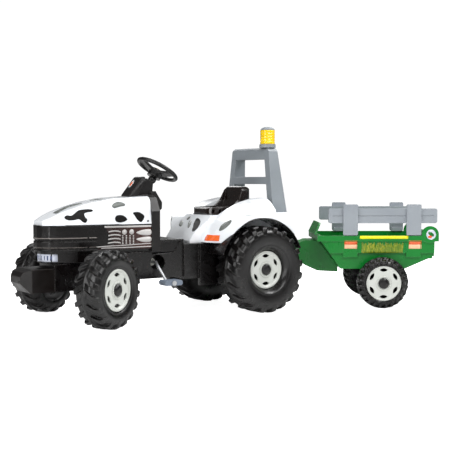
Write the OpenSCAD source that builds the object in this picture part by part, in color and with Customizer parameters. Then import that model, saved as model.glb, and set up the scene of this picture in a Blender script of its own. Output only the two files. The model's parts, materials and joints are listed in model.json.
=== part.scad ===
// Child's pedal tractor with a roll bar and beacon, towing a two-wheeled trailer with fence rails.
// The tractor is laid out from the point on the ground under its rear axle: +X forward, +Y left, +Z up.
// The trailer is laid out the same way from the ground under its hitch pin, then swung about that pin.
// A last shift puts the origin on the ground under the middle of the whole rig.

/* [Rest pose] */
// Angle that the front wheels are steered to the left
steer_rest = 27; // [0:1:30]
// Angle that the trailer is swung to the left about its hitch pin
trailer_rest = 33; // [0:1:40]

/* [Wheels] */
// Outer radius of a rear tyre over its lugs
rear_tyre_r = 147; // [135:1:180]
// Width of a rear tyre
rear_tyre_w = 122; // [95:1:124]
// Outer radius of a front tyre over its lugs
front_tyre_r = 120; // [105:1:135]
// Width of a front tyre
front_tyre_w = 88; // [80:1:92]
// Outer radius of a trailer tyre over its lugs
trailer_tyre_r = 90; // [84:1:105]
// Width of a trailer tyre
trailer_tyre_w = 56; // [50:1:58]
// Radius of the wheel plates, the same part on every wheel
plate_r = 64; // [58:1:68]
// Thickness of a wheel plate at its raised rim
plate_t = 12; // [9:1:14]
// Number of slots round a wheel plate
plate_slots = 6; // [4:1:8]
// Radius of the black cap on each wheel's centre
cap_r = 19; // [15:1:22]
// Wall of the moulded tyres
tyre_wall = 4; // [3:0.5:5]
// Height of the tread lugs
lug_h = 9; // [5:1:10]
// Radius of the wheel axles
axle_r = 6; // [5:0.5:7]

/* [Tractor] */
// Distance from the rear axle to the front kingpins
wheelbase = 605; // [570:1:730]
// Half the distance between the rear wheel plates
rear_plate_y = 218; // [215:1:265]
// Half the distance between the kingpins
kingpin_y = 205; // [195:1:250]
// Distance from a kingpin out to its wheel plate
stub_reach = 58; // [56:1:62]
// Half width of the chassis between the wheels
chassis_half_w = 95; // [85:1:100]
// Wall of the moulded body parts
wall = 4; // [3:0.5:5]
// Height of the chassis deck that the rider steps over
deck_z = 254; // [246:1:270]
// Height of the chassis floor edge
floor_z = 128; // [115:1:135]
// Height of the bonnet's lower edge
bonnet_z = 309; // [300:1:330]
// Height of the bonnet at its rear edge
bonnet_top_z = 398; // [380:1:430]
// Half width of the bonnet at its rear edge
bonnet_half_w = 104; // [95:1:115]
// How far the nose stands in front of the kingpins
nose_reach = 130; // [115:1:150]
// Height of the seat's upper face
seat_z = 356; // [350:1:380]
// Length of the seat's base
seat_l = 160; // [150:1:175]

/* [Steering] */
// Diameter of the steering wheel
steering_wheel_d = 152; // [140:1:190]
// Lean of the steering column from upright
column_lean = 31; // [28:1:34]
// Radius of the steel steering column
column_r = 6; // [5:0.5:7]
// Length of the steering arms and of the drop arm
steer_arm = 45; // [40:1:50]

/* [Pedals] */
// Distance from the rear axle to the crank
crank_x = 350; // [340:1:360]
// Height of the crank's axis
crank_z = 179; // [177:1:182]
// Length of each crank arm
crank_arm = 58; // [50:1:64]
// Radius of the crank rod
crank_r = 5; // [4:0.5:6]
// Angle of the left crank arm below level, towards the rear
crank_rest = 92; // [0:1:180]
// Length of a pedal along the tractor
pedal_l = 64; // [56:1:75]
// Width of a pedal across the tractor
pedal_w = 42; // [38:1:50]

/* [Roll bar] */
// Height of the roll bar's top
bar_top_z = 565; // [540:1:640]
// Half width of the roll bar at its top
bar_top_half_w = 114; // [105:1:125]
// Half width of the roll bar at its feet
bar_foot_half_w = 146; // [140:1:150]
// Diameter of the beacon lens
beacon_d = 52; // [40:1:60]
// Height of the beacon lens
beacon_lens_h = 50; // [40:1:60]

/* [Trailer] */
// Distance from the hitch pin to the trailer axle
trailer_axle_x = 377; // [360:1:400]
// Half the distance between the trailer wheel plates
trailer_plate_y = 203; // [202:1:245]
// Height of the load tub's rim
tub_rim_z = 254; // [240:1:275]
// Height of the load tub's underside
tub_floor_z = 136; // [128:1:140]
// Half width of the load tub over its rim
tub_half_w = 155; // [150:1:160]
// Height of the fence posts' tops
fence_top_z = 365; // [355:1:440]

/* [Fits] */
// Radial clearance of a shaft that turns in a hole
run_clear = 0.05; // [0.02:0.01:0.1]
// Gap between faces that move past each other
face_gap = 0.5; // [0.3:0.1:1]

/* [Hidden] */
$fn = 64;

// Tiny overlap that lets cuts run cleanly past a face
eps = 0.01;
// Facets of small rounds inside a hull
hull_fn = 24;

// Wheels: how far each plate stands inside its tyre's outer face, and the dish on the inboard side
rear_recess = 26;
front_recess = 8;
trailer_recess = 4;
rear_dish = 14;
front_dish = 48;
trailer_dish = 8;
rear_lugs = 20;
front_lugs = 18;
trailer_lugs = 24;
shoulder_r = 16;
lug_share = 1.3;
plate_face_t = 5;
plate_ring_h = 3;
plate_lip_h = 3;
slot_l = 28;
slot_w = 12;
slot_inset = 17;
cap_h = 9;
hub_boss_r = 16;
axle_out = 4;

// Clearance of parts that are pushed together and stay
seat_clear = 0.1;
screw_r = 3;
screw_head_h = 3;

// Chassis, from the rear box forward to the nose
rear_axle_z = rear_tyre_r;
rear_box_half_w = 112;
rear_box_front_x = 196;
rear_box_back_x = -150;
rear_box_z = 96;
box_top_z = 238;
neck_half_w = 103;
deck_back_x = 252;
deck_front_x = 377;
step_x = 500;
front_half_w = 62;
chassis_front_x = wheelbase + 92;
chassis_roof_z = 188;
mid_roof_z = 217;
belly_z = 102;

// White cover, fenders and seat
arch_clear = 28;
arch_r = rear_tyre_r + arch_clear;
arch_in_y = rear_box_half_w + 1;
arch_outer_y = 205;
arch_half_l = (arch_outer_y - arch_in_y) / 2 + 1;
fender_t = 5;
liner_gap = 0.3;
liner_t = 3;
fender_front_x = 176;
fender_back_x = -162;
fender_low_z = 241;
fender_top_z = 388;
ledge_x = -64;
ledge_z = 338;
saddle_front_x = 240;
saddle_half_w = 82;
cover_front_z = 246;
seat_base_t = 26;
seat_front_x = 128;
seat_back_x = seat_front_x - seat_l;
seat_half_w = 65;
seat_back_top_z = seat_z + 74;
seat_under_z = seat_z - seat_base_t;
seat_slot_x = [82, 106];
seat_well_back_x = ledge_x;

// Nose, bonnet, cowl and weight block
nose_x = wheelbase + nose_reach;
nose_half_w = 66;
nose_low_z = 191;
groove_z = [233, 259];
groove_h = 5;
groove_d = 3;
nose_step_z = 228;
nose_step = 12;
grille_back_x = wheelbase - 40;
cowl_x = 377;
cowl_back_x = 346;
cowl_low_z = 219;
turret_top_z = 456;
turret_half_w = 34;
turret_bore_l = 70;
bonnet_crown = 0.75;
bonnet_stations = [
  [cowl_x, bonnet_half_w, bonnet_top_z, 34],
  [cowl_x + 116, bonnet_half_w - 4, bonnet_top_z - 7, 36],
  [cowl_x + 195, bonnet_half_w - 10, bonnet_top_z - 20, 38],
  [nose_x - 112, nose_half_w + 21, bonnet_top_z - 34, 36],
  [nose_x - 66, nose_half_w + 8, bonnet_top_z - 49, 26],
  [nose_x - 34, nose_half_w - 5, bonnet_top_z - 64, 16],
  [nose_x - 10, nose_half_w - 28, bonnet_z + 14, 8]
];
pod_low_z = bonnet_top_z - 16;
pod_top_z = 462;
pod_front_x = 412;
pod_back_x = 366;
weight_front_x = wheelbase + 196;
weight_half_w = 62;
weight_low_z = 102;
weight_top_z = 175;

// Front axle and steering linkage
front_axle_z = front_tyre_r;
beam_half_h = 12;
beam_half_t = 13;
beam_clear = 0.3;
kingpin_r = 7;
kingpin_boss_r = 14;
knuckle_t = 5;
knuckle_gap = face_gap;
tie_low_z = front_axle_z + beam_half_h + knuckle_gap + knuckle_t + face_gap;
tie_t = 6;
tie_pin_r = 4;
tie_bar_half_w = 8;
tie_slot_back = 14;
tie_slot_front = 20;
ball_r = 7;
fork_wall = 5;
fork_gap = ball_r + face_gap;

// Steering column: it leans back from its lower ball up to the steering wheel
hub_x = 297;
hub_z = 486;
wheel_rim_r = 7;
spoke_t = 7;
boss_r = 24;
boss_h = 30;
collar_r = 14;
horn_r = 17;
horn_h = 6;
horn_travel = 3;
tie_x = wheelbase - steer_arm;
column_foot_z = 168;
column_drop = (hub_z - column_foot_z) / cos(column_lean);
column_foot_x = hub_x + column_drop * sin(column_lean);
ball_drop = 20;
ball_x = column_foot_x - steer_arm * cos(column_lean) + ball_drop * sin(column_lean);
ball_z = column_foot_z - steer_arm * sin(column_lean) - ball_drop * cos(column_lean);

// Crank and chain
bush_r = 9;
bush_flange_r = 13;
bush_flange_t = 2;
web_t = 6;
web_y = 48;
crank_bend_y = 80;
crank_out_y = 150;
pedal_pin_l = crank_r + pedal_w + 2 * face_gap + 1;
crank_hole_r = 27;
chain_y = 20;
chain_pitch_r = 28;
chain_plate_t = 1.5;
chain_plate_h = 9;
sprocket_teeth = 14;
sprocket_t = 3;
chain_gap = sprocket_t + 2 * face_gap;

// Roll bar and beacon
bar_depth_top = 42;
bar_depth_foot = 61;
bar_front_x = -82;
bar_width = 30;
bar_foot_z = ledge_z;
bar_rail_low_z = 436;
bar_rail_top_z = 462;
bar_head_h = bar_top_z - 524;
beacon_x = bar_front_x - bar_depth_top / 2;
beacon_y = bar_top_half_w - 30;
beacon_base_h = 12;
beacon_cap_h = 11;

// Hitch and trailer
hitch_x = -188;
hitch_z = 172;
hitch_pin_r = 6;
hitch_half_w = 16;
clevis_t = 5;
tongue_t = 12;
tongue_half_w = 17;
trailer_axle_z = trailer_tyre_r;
tub_front_x = -150;
tub_back_x = -577;
tub_wall = 4;
tub_front_low_x = -234;
tub_back_low_x = -462;
tub_back_lip_x = -559;
tub_back_lip_z = 172;
tub_low_half_w = 146;
tub_step_z = trailer_axle_z + trailer_tyre_r + 12;
rim_h = 20;
rim_out = 5;
leg_y = 104;
leg_t = 34;
leg_half_l = 62;
leg_boss_r = 16;
ear_r = 30;
ear_x = -549;
ear_z = 258;
gate_t = 6;
gate_pin_r = 5;
gate_half_w = tub_low_half_w - tub_wall - 1;
gate_low_z = tub_back_lip_z + 8;
head_half_w = 110;
head_h = 46;
head_t = 7;
drawbar_half_w = 58;
drawbar_floor_z = 117;
drawbar_front_x = -86;
post_w = 52;
post_t = 12;
post_x = [-266, -490];
post_y = tub_half_w + rim_out - 6;
post_foot_z = tub_rim_z + 2;
rail_front_x = -189;
rail_back_x = -574;
rail_low_z = 298;
rail_h = 52;
rail_t = 16;
rail_out_y = post_y;

// The whole rig's middle, from its foremost, rearmost and outermost points
swing = -trailer_rest;
front_reach_x = weight_front_x;
back_reach_x = hitch_x + tub_back_x * cos(swing) + (tub_half_w + rim_out) * sin(swing);
left_reach_y = (tub_half_w + rim_out) * cos(swing) + rail_back_x * sin(swing);
right_reach_y = -kingpin_y - (stub_reach + front_recess) * cos(steer_rest)
  - front_tyre_r * sin(steer_rest);
middle_x = (front_reach_x + back_reach_x) / 2;
middle_y = (left_reach_y + right_reach_y) / 2;

// ---- Placing ----

// Moves the finished rig so that its middle stands on the origin
module placed() {
  translate([-middle_x, -middle_y, 0]) children();
}

// Trailer parts: drawn straight behind the hitch, then swung about the hitch pin
module towed() {
  placed() translate([hitch_x, 0, 0]) rotate([0, 0, swing]) children();
}

// Parts that turn with one front wheel, drawn with the kingpin on the Z axis, outboard along +Y
module steered(side) {
  placed() translate([wheelbase, side * kingpin_y, 0]) rotate([0, 0, steer_rest])
    scale_side(side) children();
}

// Mirrors a left-hand part when side is -1
module scale_side(side) {
  if (side > 0) children();
  else mirror([0, 1, 0]) children();
}

// Parts on the steering column: +Z runs up the column from the steering wheel's hub
module on_column() {
  placed() translate([hub_x, 0, hub_z]) rotate([0, -column_lean, 0])
    rotate([0, 0, steer_rest]) children();
}

// Parts that turn with the crank, drawn with the left arm pointing forward
module cranked() {
  placed() translate([crank_x, 0, crank_z]) rotate([0, crank_rest, 0]) children();
}

// ---- Shared shapes ----

// A side outline in X and Z, extruded from y0 to y1
module side_slab(outline, y0, y1) {
  translate([0, y1, 0]) rotate([90, 0, 0]) linear_extrude(y1 - y0) polygon(outline);
}

// A box from its low corner to its high corner
module block(low, high) {
  translate(low) cube(high - low);
}

// A straight round bar along Y
module bar_y(r, y0, y1) {
  translate([0, y1, 0]) rotate([90, 0, 0]) cylinder(r = r, h = y1 - y0);
}

// A rod between two points
module rod(from, to, r) {
  run = to - from;
  length = norm(run);
  translate(from) rotate([0, acos(run[2] / length), atan2(run[1], run[0])])
    cylinder(r = r, h = length);
}

// A flat plate with rounded corners, standing on z = 0
module round_plate(size, r, t) {
  linear_extrude(t) {
    translate([r, 0]) square([size[0] - 2 * r, size[1]]);
    translate([0, r]) square([size[0], size[1] - 2 * r]);
    for (x = [r, size[0] - r], y = [r, size[1] - r]) translate([x, y]) circle(r);
  }
}

// Points of an arc about a centre, from angle a0 to a1 in degrees
function arc(centre, r, a0, a1, steps) = [
  for (i = [0:steps]) centre + r * [cos(a0 + (a1 - a0) * i / steps), sin(a0 + (a1 - a0) * i / steps)]
];

// ---- Wheels: drawn about the Y axis, outboard towards +Y, with the wheel plate's face at y = 0 ----

// Turns a profile of [radius, y] about the Y axis
module turned(profile) {
  rotate([-90, 0, 0]) rotate_extrude() polygon(profile);
}

// Skin of a tyre: a rounded tread and bulging sidewalls, with a dish on the inboard side
function tyre_skin(r, w, recess, dish, dish_r) = concat(
  [[0, -plate_face_t], [hub_boss_r, -plate_face_t], [hub_boss_r, -plate_t], [plate_r, -plate_t]],
  [[plate_r, recess - 3], [plate_r + 3, recess], [plate_r + 7, recess]],
  arc([r - shoulder_r, recess - shoulder_r], shoulder_r, 90, 15, 5),
  arc([r - shoulder_r, recess - w + shoulder_r], shoulder_r, -15, -90, 5),
  [[dish_r + 5, recess - w], [dish_r + 2, recess - w + 3], [dish_r, recess - w + dish]],
  [[0, recess - w + dish]]
);

// Hollow inside a tyre, open towards its wheel plate
function tyre_hollow(r, w, recess, dish, dish_r) = concat(
  [[hub_boss_r, -plate_t + eps], [plate_r - 6, -plate_t + eps], [plate_r - 6, -plate_t - tyre_wall]],
  [[plate_r + tyre_wall, -plate_t - tyre_wall], [plate_r + tyre_wall, recess - tyre_wall]],
  arc([r - shoulder_r, recess - shoulder_r], shoulder_r - tyre_wall, 90, 15, 3),
  arc([r - shoulder_r, recess - w + shoulder_r], shoulder_r - tyre_wall, -15, -90, 3),
  [[dish_r + tyre_wall + 4, recess - w + tyre_wall], [dish_r + tyre_wall, recess - w + dish + tyre_wall]],
  [[hub_boss_r, recess - w + dish + tyre_wall]]
);

// One row of tread lugs: blocks from the centre rib out to one shoulder, rooted in the tyre's wall
module lug_row(r, half_w, count, phase) {
  root_r = r - lug_h - tyre_wall / 2;
  intersection() {
    turned(concat(
      [[root_r, 0], [r, 0], [r, half_w - lug_h], [r - lug_h / 2, half_w - 1]],
      arc([r - lug_h - shoulder_r, half_w - shoulder_r], shoulder_r - tyre_wall / 2, 75, 0, 4)
    ));
    for (i = [0:count - 1]) rotate([0, 360 * (i + phase) / count, 0])
      block([-lug_share * r / count, 0, r - lug_h - shoulder_r], [lug_share * r / count, half_w, r + 1]);
  }
}

// A moulded tyre: hollow shell, smooth centre rib, and two staggered rows of lugs
module tyre(r, w, recess, dish, dish_r, count) {
  color("#1b1b1d") difference() {
    union() {
      difference() {
        turned(tyre_skin(r - lug_h, w, recess, dish, dish_r));
        turned(tyre_hollow(r - lug_h, w, recess, dish, dish_r));
      }
      translate([0, recess - w / 2, 0]) {
        turned([
          [r - lug_h - tyre_wall / 2, -w / 14], [r, -w / 14], [r, w / 14], [r - lug_h - tyre_wall / 2, w / 14]
        ]);
        lug_row(r, w / 2, count, 0);
        scale_side(-1) lug_row(r, w / 2, count, 0.5);
      }
    }
    bar_y(axle_r + run_clear, -w, w);
  }
}

// The dished wheel plate with lens-shaped slots near its rim
module wheel_plate() {
  seat_r = plate_r - seat_clear;
  slot_arc_r = (slot_l * slot_l + slot_w * slot_w) / (4 * slot_w);
  color("#c3c8c6") difference() {
    turned([
      [axle_r + run_clear, -plate_face_t], [axle_r + run_clear, 0], [cap_r + 2, 0],
      [cap_r + 3, plate_ring_h], [cap_r + 6, plate_ring_h], [cap_r + 8, -1],
      [seat_r - 10, -1], [seat_r - 5, plate_lip_h], [seat_r, plate_lip_h - 1],
      [seat_r, -plate_t], [seat_r - 4, -plate_t], [seat_r - 4, -plate_face_t]
    ]);
    for (i = [0:plate_slots - 1]) rotate([0, 360 * i / plate_slots, 0])
      translate([0, -plate_t, seat_r - slot_inset]) rotate([-90, 0, 0])
        linear_extrude(3 * plate_t) intersection() {
          translate([0, slot_arc_r - slot_w / 2]) circle(slot_arc_r);
          translate([0, slot_w / 2 - slot_arc_r]) circle(slot_arc_r);
        }
  }
}

// The black snap-on cap over an axle's end
module wheel_cap() {
  color("#161616") difference() {
    turned([
      [0, 0], [cap_r - 0.5, 0], [cap_r - 0.5, cap_h / 3], [cap_r - 5, cap_h * 0.8],
      [cap_r - 11, cap_h], [0, cap_h]
    ]);
    bar_y(axle_r + run_clear, -1, axle_out + face_gap);
  }
}

// A wheel plane on one side of the tractor's rear axle
module at_rear(side) {
  placed() scale_side(side) translate([0, rear_plate_y, rear_axle_z]) children();
}

// A wheel plane on one steered stub axle
module at_front(side) {
  steered(side) translate([0, stub_reach, front_axle_z]) children();
}

// A wheel plane on one side of the trailer's axle
module at_trailer(side) {
  towed() scale_side(side) translate([-trailer_axle_x, trailer_plate_y, trailer_axle_z]) children();
}

module rear_tyre(side) {
  at_rear(side) tyre(rear_tyre_r, rear_tyre_w, rear_recess, rear_dish, plate_r - 4, rear_lugs);
}

module front_tyre(side) {
  at_front(side) tyre(front_tyre_r, front_tyre_w, front_recess, front_dish, plate_r + 10, front_lugs);
}

module trailer_tyre(side) {
  at_trailer(side)
    tyre(trailer_tyre_r, trailer_tyre_w, trailer_recess, trailer_dish, plate_r - 6, trailer_lugs);
}

// ---- Tractor body ----

// The chassis: one black moulding, a shell open underneath
module chassis() {
  in_w = chassis_half_w - wall;
  front_in_w = front_half_w - wall;
  box_in_w = rear_box_half_w - wall;
  scallop = [
    [deck_front_x - 6, deck_z - 7], [deck_back_x + 12, deck_z - 7], [deck_back_x + 18, deck_z - 18],
    [deck_back_x + 34, deck_z - 40], [deck_back_x + 44, deck_z - 45], [deck_front_x - 6, deck_z - 45]
  ];
  color("#1c1c1e") placed() difference() {
    union() {
      difference() {
        union() {
          // Nose, centre beam, deck and rear box
          block([step_x - 1, -front_half_w, belly_z], [chassis_front_x, front_half_w, chassis_roof_z]);
          block([deck_back_x, -chassis_half_w, floor_z], [step_x, chassis_half_w, mid_roof_z]);
          block([deck_back_x, -chassis_half_w, mid_roof_z - wall], [deck_front_x, chassis_half_w, deck_z]);
          block([rear_box_front_x, -neck_half_w, rear_box_z + 24], [deck_back_x + 1, neck_half_w, box_top_z]);
          block([rear_box_back_x, -rear_box_half_w, rear_box_z],
            [rear_box_front_x + 1, rear_box_half_w, box_top_z]);
        }
        // Hollow of each part, open underneath
        block([step_x - 10, -front_in_w, belly_z - 1],
          [chassis_front_x - wall, front_in_w, chassis_roof_z - wall]);
        block([deck_back_x - 10, -in_w, floor_z - 1], [step_x - wall, in_w, mid_roof_z - wall]);
        block([deck_back_x - 10, -in_w + 6, mid_roof_z - wall - 1],
          [deck_front_x - wall, in_w - 6, deck_z - wall]);
        block([rear_box_front_x - 10, -neck_half_w + wall, rear_box_z],
          [deck_back_x + 1 - wall, neck_half_w - wall, box_top_z - wall]);
        block([rear_box_back_x + wall, -box_in_w, rear_box_z - 1],
          [rear_box_front_x + 1 - wall, box_in_w, box_top_z - wall]);
        // Scalloped recess on each side of the deck
        for (side = [-1, 1]) side_slab(scallop, side * (chassis_half_w - 2) - 3, side * (chassis_half_w - 2) + 3);
      }
      // Pedestal over the front axle beam
      block([wheelbase - beam_half_t, -front_in_w + 10, front_axle_z + beam_half_h],
        [wheelbase + beam_half_t, front_in_w - 10, chassis_roof_z - 1]);
      // Lower column bearing, leaning with the column
      column_frame() translate([0, 0, -column_drop + 36]) cylinder(r = column_r + 6, h = 30);
      // Webs that hold the crank's bushes
      for (side = [-1, 1]) side_slab([
        [crank_x - 26, crank_z - 26], [crank_x + 24, crank_z - 26], [crank_x + 24, mid_roof_z - 1],
        [crank_x - 26, mid_roof_z - 1]
      ], side * web_y - web_t / 2, side * web_y + web_t / 2);
      // Bosses for the rear axle's bushes
      for (side = [-1, 1]) translate([0, 0, rear_axle_z])
        bar_y(bush_r + 5, side * (rear_box_half_w - 6) - 6, side * (rear_box_half_w - 6) + 6);
    }
    // Bores for bushes and for the column
    for (side = [-1, 1]) {
      translate([crank_x, 0, crank_z]) bar_y(bush_r, side * web_y - web_t, side * web_y + web_t);
      translate([0, 0, rear_axle_z]) bar_y(bush_r, side * rear_box_half_w - 20, side * rear_box_half_w + 20);
    }
    column_frame() translate([0, 0, -column_drop]) cylinder(r = column_r + run_clear, h = 80);
    // Round windows where the crank arms come out
    for (side = [-1, 1]) translate([crank_x, 0, crank_z])
      bar_y(crank_hole_r, side * chassis_half_w - 9, side * chassis_half_w + 9);
    // Slots for the front axle beam and for the tie rod
    block([wheelbase - beam_half_t - beam_clear, -chassis_half_w, belly_z - 1],
      [wheelbase + beam_half_t + beam_clear, chassis_half_w, front_axle_z + beam_half_h]);
    block([tie_x - tie_slot_back, -chassis_half_w, tie_low_z - 4],
      [tie_x + tie_slot_front, chassis_half_w, tie_low_z + tie_t + 4]);
  }
}

// Frame of the steering column with the steering straight ahead, without the rig's shift
module column_frame() {
  translate([hub_x, 0, hub_z]) rotate([0, -column_lean, 0]) children();
}

// The stepped weight block bolted under the nose
module front_weight() {
  color("#1a1a1a") placed() difference() {
    intersection() {
      side_slab([
        [chassis_front_x, weight_low_z], [weight_front_x - 26, weight_low_z],
        [weight_front_x, weight_low_z + 30], [weight_front_x, weight_top_z - 22],
        [weight_front_x - 8, weight_top_z - 8], [weight_front_x - 34, weight_top_z],
        [chassis_front_x, weight_top_z]
      ], -weight_half_w, weight_half_w);
      translate([0, 0, weight_low_z]) linear_extrude(weight_top_z - weight_low_z) polygon([
        [chassis_front_x, -weight_half_w], [weight_front_x - 30, -weight_half_w],
        [weight_front_x, 20 - weight_half_w], [weight_front_x, weight_half_w - 20],
        [weight_front_x - 30, weight_half_w], [chassis_front_x, weight_half_w]
      ]);
    }
    for (side = [-1, 1]) translate([0, side * weight_half_w / 2, (weight_low_z + weight_top_z) / 2])
      rotate([0, 90, 0]) cylinder(r = screw_r + 1, h = weight_front_x + 1);
  }
}

// Plan outline of the nose, set in by a wall
function nose_plan(inset) = [
  [cowl_x, inset - bonnet_half_w], [cowl_x, bonnet_half_w - inset],
  [wheelbase + 20, nose_half_w + 22 - inset], [nose_x - 46 - inset / 2, nose_half_w - inset],
  [nose_x - 24 - inset * 0.8, nose_half_w - 12 - inset * 0.8], [nose_x - 8 - inset, nose_half_w - 30 - inset / 2],
  [nose_x - inset, nose_half_w - 52], [nose_x - inset, 52 - nose_half_w],
  [nose_x - 8 - inset, 30 - nose_half_w + inset / 2], [nose_x - 24 - inset * 0.8, 12 - nose_half_w + inset * 0.8],
  [nose_x - 46 - inset / 2, inset - nose_half_w], [wheelbase + 20, inset - nose_half_w - 22]
];

// One level of the nose's wall, from z0 to z1, its outer face set in by inset
module nose_wall(z0, z1, inset, thick) {
  difference() {
    translate([0, 0, z0]) linear_extrude(z1 - z0) polygon(nose_plan(inset));
    translate([-eps, 0, z0 - 1]) linear_extrude(z1 - z0 + 2) polygon(nose_plan(inset + thick));
  }
}

// The black grille and engine sides: a wall round the nose with two grooves, stepped in at its foot
module nose_cover() {
  color("#202022") placed() difference() {
    union() {
      nose_wall(nose_step_z, bonnet_z - face_gap, 0, wall + groove_d);
      nose_wall(nose_step_z, nose_step_z + wall, 0, nose_step + wall);
      nose_wall(nose_low_z, nose_step_z + wall, nose_step, wall);
    }
    for (z = groove_z) translate([0, 0, z]) difference() {
      translate([grille_back_x, -bonnet_half_w, 0]) cube([nose_reach * 2, 2 * bonnet_half_w, groove_h]);
      translate([0, 0, -1]) linear_extrude(groove_h + 2) polygon(nose_plan(groove_d));
    }
    // The lower edge rises behind the front wheels
    side_slab([
      [cowl_x - 1, nose_low_z - 1], [step_x + 60, nose_low_z - 1], [step_x + seat_clear, mid_roof_z + seat_clear],
      [cowl_x - 1, mid_roof_z + seat_clear]
    ], -bonnet_half_w - 1, bonnet_half_w + 1);
  }
}

// One cross-section of the bonnet: a thin slice with rounded upper edges
module bonnet_slice(x, half_w, top_z, r) {
  for (side = [-1, 1]) {
    translate([x, side * (half_w - 0.5), bonnet_z]) cube([0.5, 1, 0.5], center = true);
    translate([x, side * (half_w - r), top_z - r * bonnet_crown]) rotate([0, 90, 0])
      cylinder(r = r * bonnet_crown, h = 0.5, center = true, $fn = hull_fn);
  }
  translate([x, 0, top_z - 4]) rotate([0, 90, 0]) cylinder(r = 4, h = 0.5, center = true, $fn = hull_fn);
}

// The bonnet's smooth outer form, set in by a wall
module bonnet_form(inset) {
  hull() {
    for (s = bonnet_stations)
      bonnet_slice(s[0] - (s[0] > cowl_x ? inset : 0), s[1] - inset, s[2] - inset, s[3]);
  }
}

// The white bonnet shell
module bonnet() {
  color("#f4f5f5") placed() difference() {
    bonnet_form(0);
    difference() {
      bonnet_form(wall);
      block([0, -300, 0], [cowl_x, 300, 600]);
    }
    block([0, -300, 0], [cowl_x, 300, 600]);
    block([cowl_x - 1, -bonnet_half_w + wall, bonnet_z - 2], [wheelbase + 60, bonnet_half_w - wall, bonnet_z + 1]);
  }
}

// The dash cowl: a frame behind the bonnet that rises into the column's upper bearing
module dash_cowl() {
  color("#232325") placed() difference() {
    union() {
      difference() {
        intersection() {
          side_slab([
            [cowl_back_x, cowl_low_z], [cowl_x, cowl_low_z], [cowl_x, bonnet_top_z + 4],
            [cowl_back_x + 6, bonnet_top_z + 4], [cowl_back_x, bonnet_top_z - 8]
          ], -bonnet_half_w - 2, bonnet_half_w + 2);
          rotate([90, 0, 90]) linear_extrude(cowl_x + 1) polygon([
            [-bonnet_half_w - 2, 0], [bonnet_half_w + 2, 0], [bonnet_half_w + 1, bonnet_z + 40],
            [bonnet_half_w - 22, bonnet_top_z - 4], [bonnet_half_w - 44, bonnet_top_z + 5],
            [44 - bonnet_half_w, bonnet_top_z + 5], [22 - bonnet_half_w, bonnet_top_z - 4],
            [-bonnet_half_w - 1, bonnet_z + 40]
          ]);
        }
        block([cowl_back_x + wall, -bonnet_half_w + wall, cowl_low_z - 1],
          [cowl_x + 1, bonnet_half_w - wall, bonnet_z + 20]);
      }
      // Turret that carries the column, and the knee pad below it
      side_slab(concat(
        [[cowl_x + 14, bonnet_top_z + 2], [cowl_x - 12, turret_top_z - 8], [cowl_x - 22, turret_top_z]],
        [[cowl_back_x - 14, turret_top_z - 12], [cowl_back_x - 10, bonnet_top_z + 10]],
        [[cowl_back_x + 1, bonnet_top_z - 8], [cowl_back_x + 20, bonnet_top_z - 20]],
        [[cowl_x - 1, bonnet_top_z - 20], [cowl_x - 1, bonnet_top_z + 2]]
      ), -turret_half_w, turret_half_w);
      side_slab([
        [cowl_back_x + 1, bonnet_z + 10], [cowl_back_x + 1, bonnet_top_z + 12],
        [cowl_back_x - 16, bonnet_top_z + 16], [cowl_back_x - 41, bonnet_top_z - 22],
        [cowl_back_x - 40, bonnet_z + 46]
      ], -turret_half_w - 12, turret_half_w + 12);
    }
    block([cowl_back_x - 1, -chassis_half_w - seat_clear, cowl_low_z - 1],
      [cowl_x + 1, chassis_half_w + seat_clear, deck_z + seat_clear]);
    column_frame() translate([0, 0, -column_drop]) cylinder(r = column_r + run_clear, h = column_drop);
    column_frame() translate([0, 0, -column_drop]) cylinder(r = column_r + 5, h = column_drop - turret_bore_l);
  }
}

// The rounded instrument pod that stands on the bonnet in front of the column
module instrument_pod() {
  color("#19191a") placed() difference() {
    hull() {
      for (side = [-1, 1]) {
        translate([pod_front_x, side * 26, pod_low_z]) cylinder(r = 8, h = 18, $fn = hull_fn);
        translate([pod_back_x, side * 26, pod_low_z]) cylinder(r = 8, h = 2, $fn = hull_fn);
        translate([pod_back_x - 2, side * 24, pod_top_z - 14]) sphere(14, $fn = hull_fn);
      }
    }
    bonnet_form(-face_gap);
    side_slab([
      [cowl_x + 14 + face_gap, bonnet_top_z - 20], [cowl_x + 14 + face_gap, bonnet_top_z + 2],
      [cowl_x - 12 + face_gap, turret_top_z - 8], [cowl_x - 30, turret_top_z + 40],
      [cowl_x - 60, turret_top_z + 40], [cowl_x - 60, bonnet_top_z - 20]
    ], -60, 60);
  }
}

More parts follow.
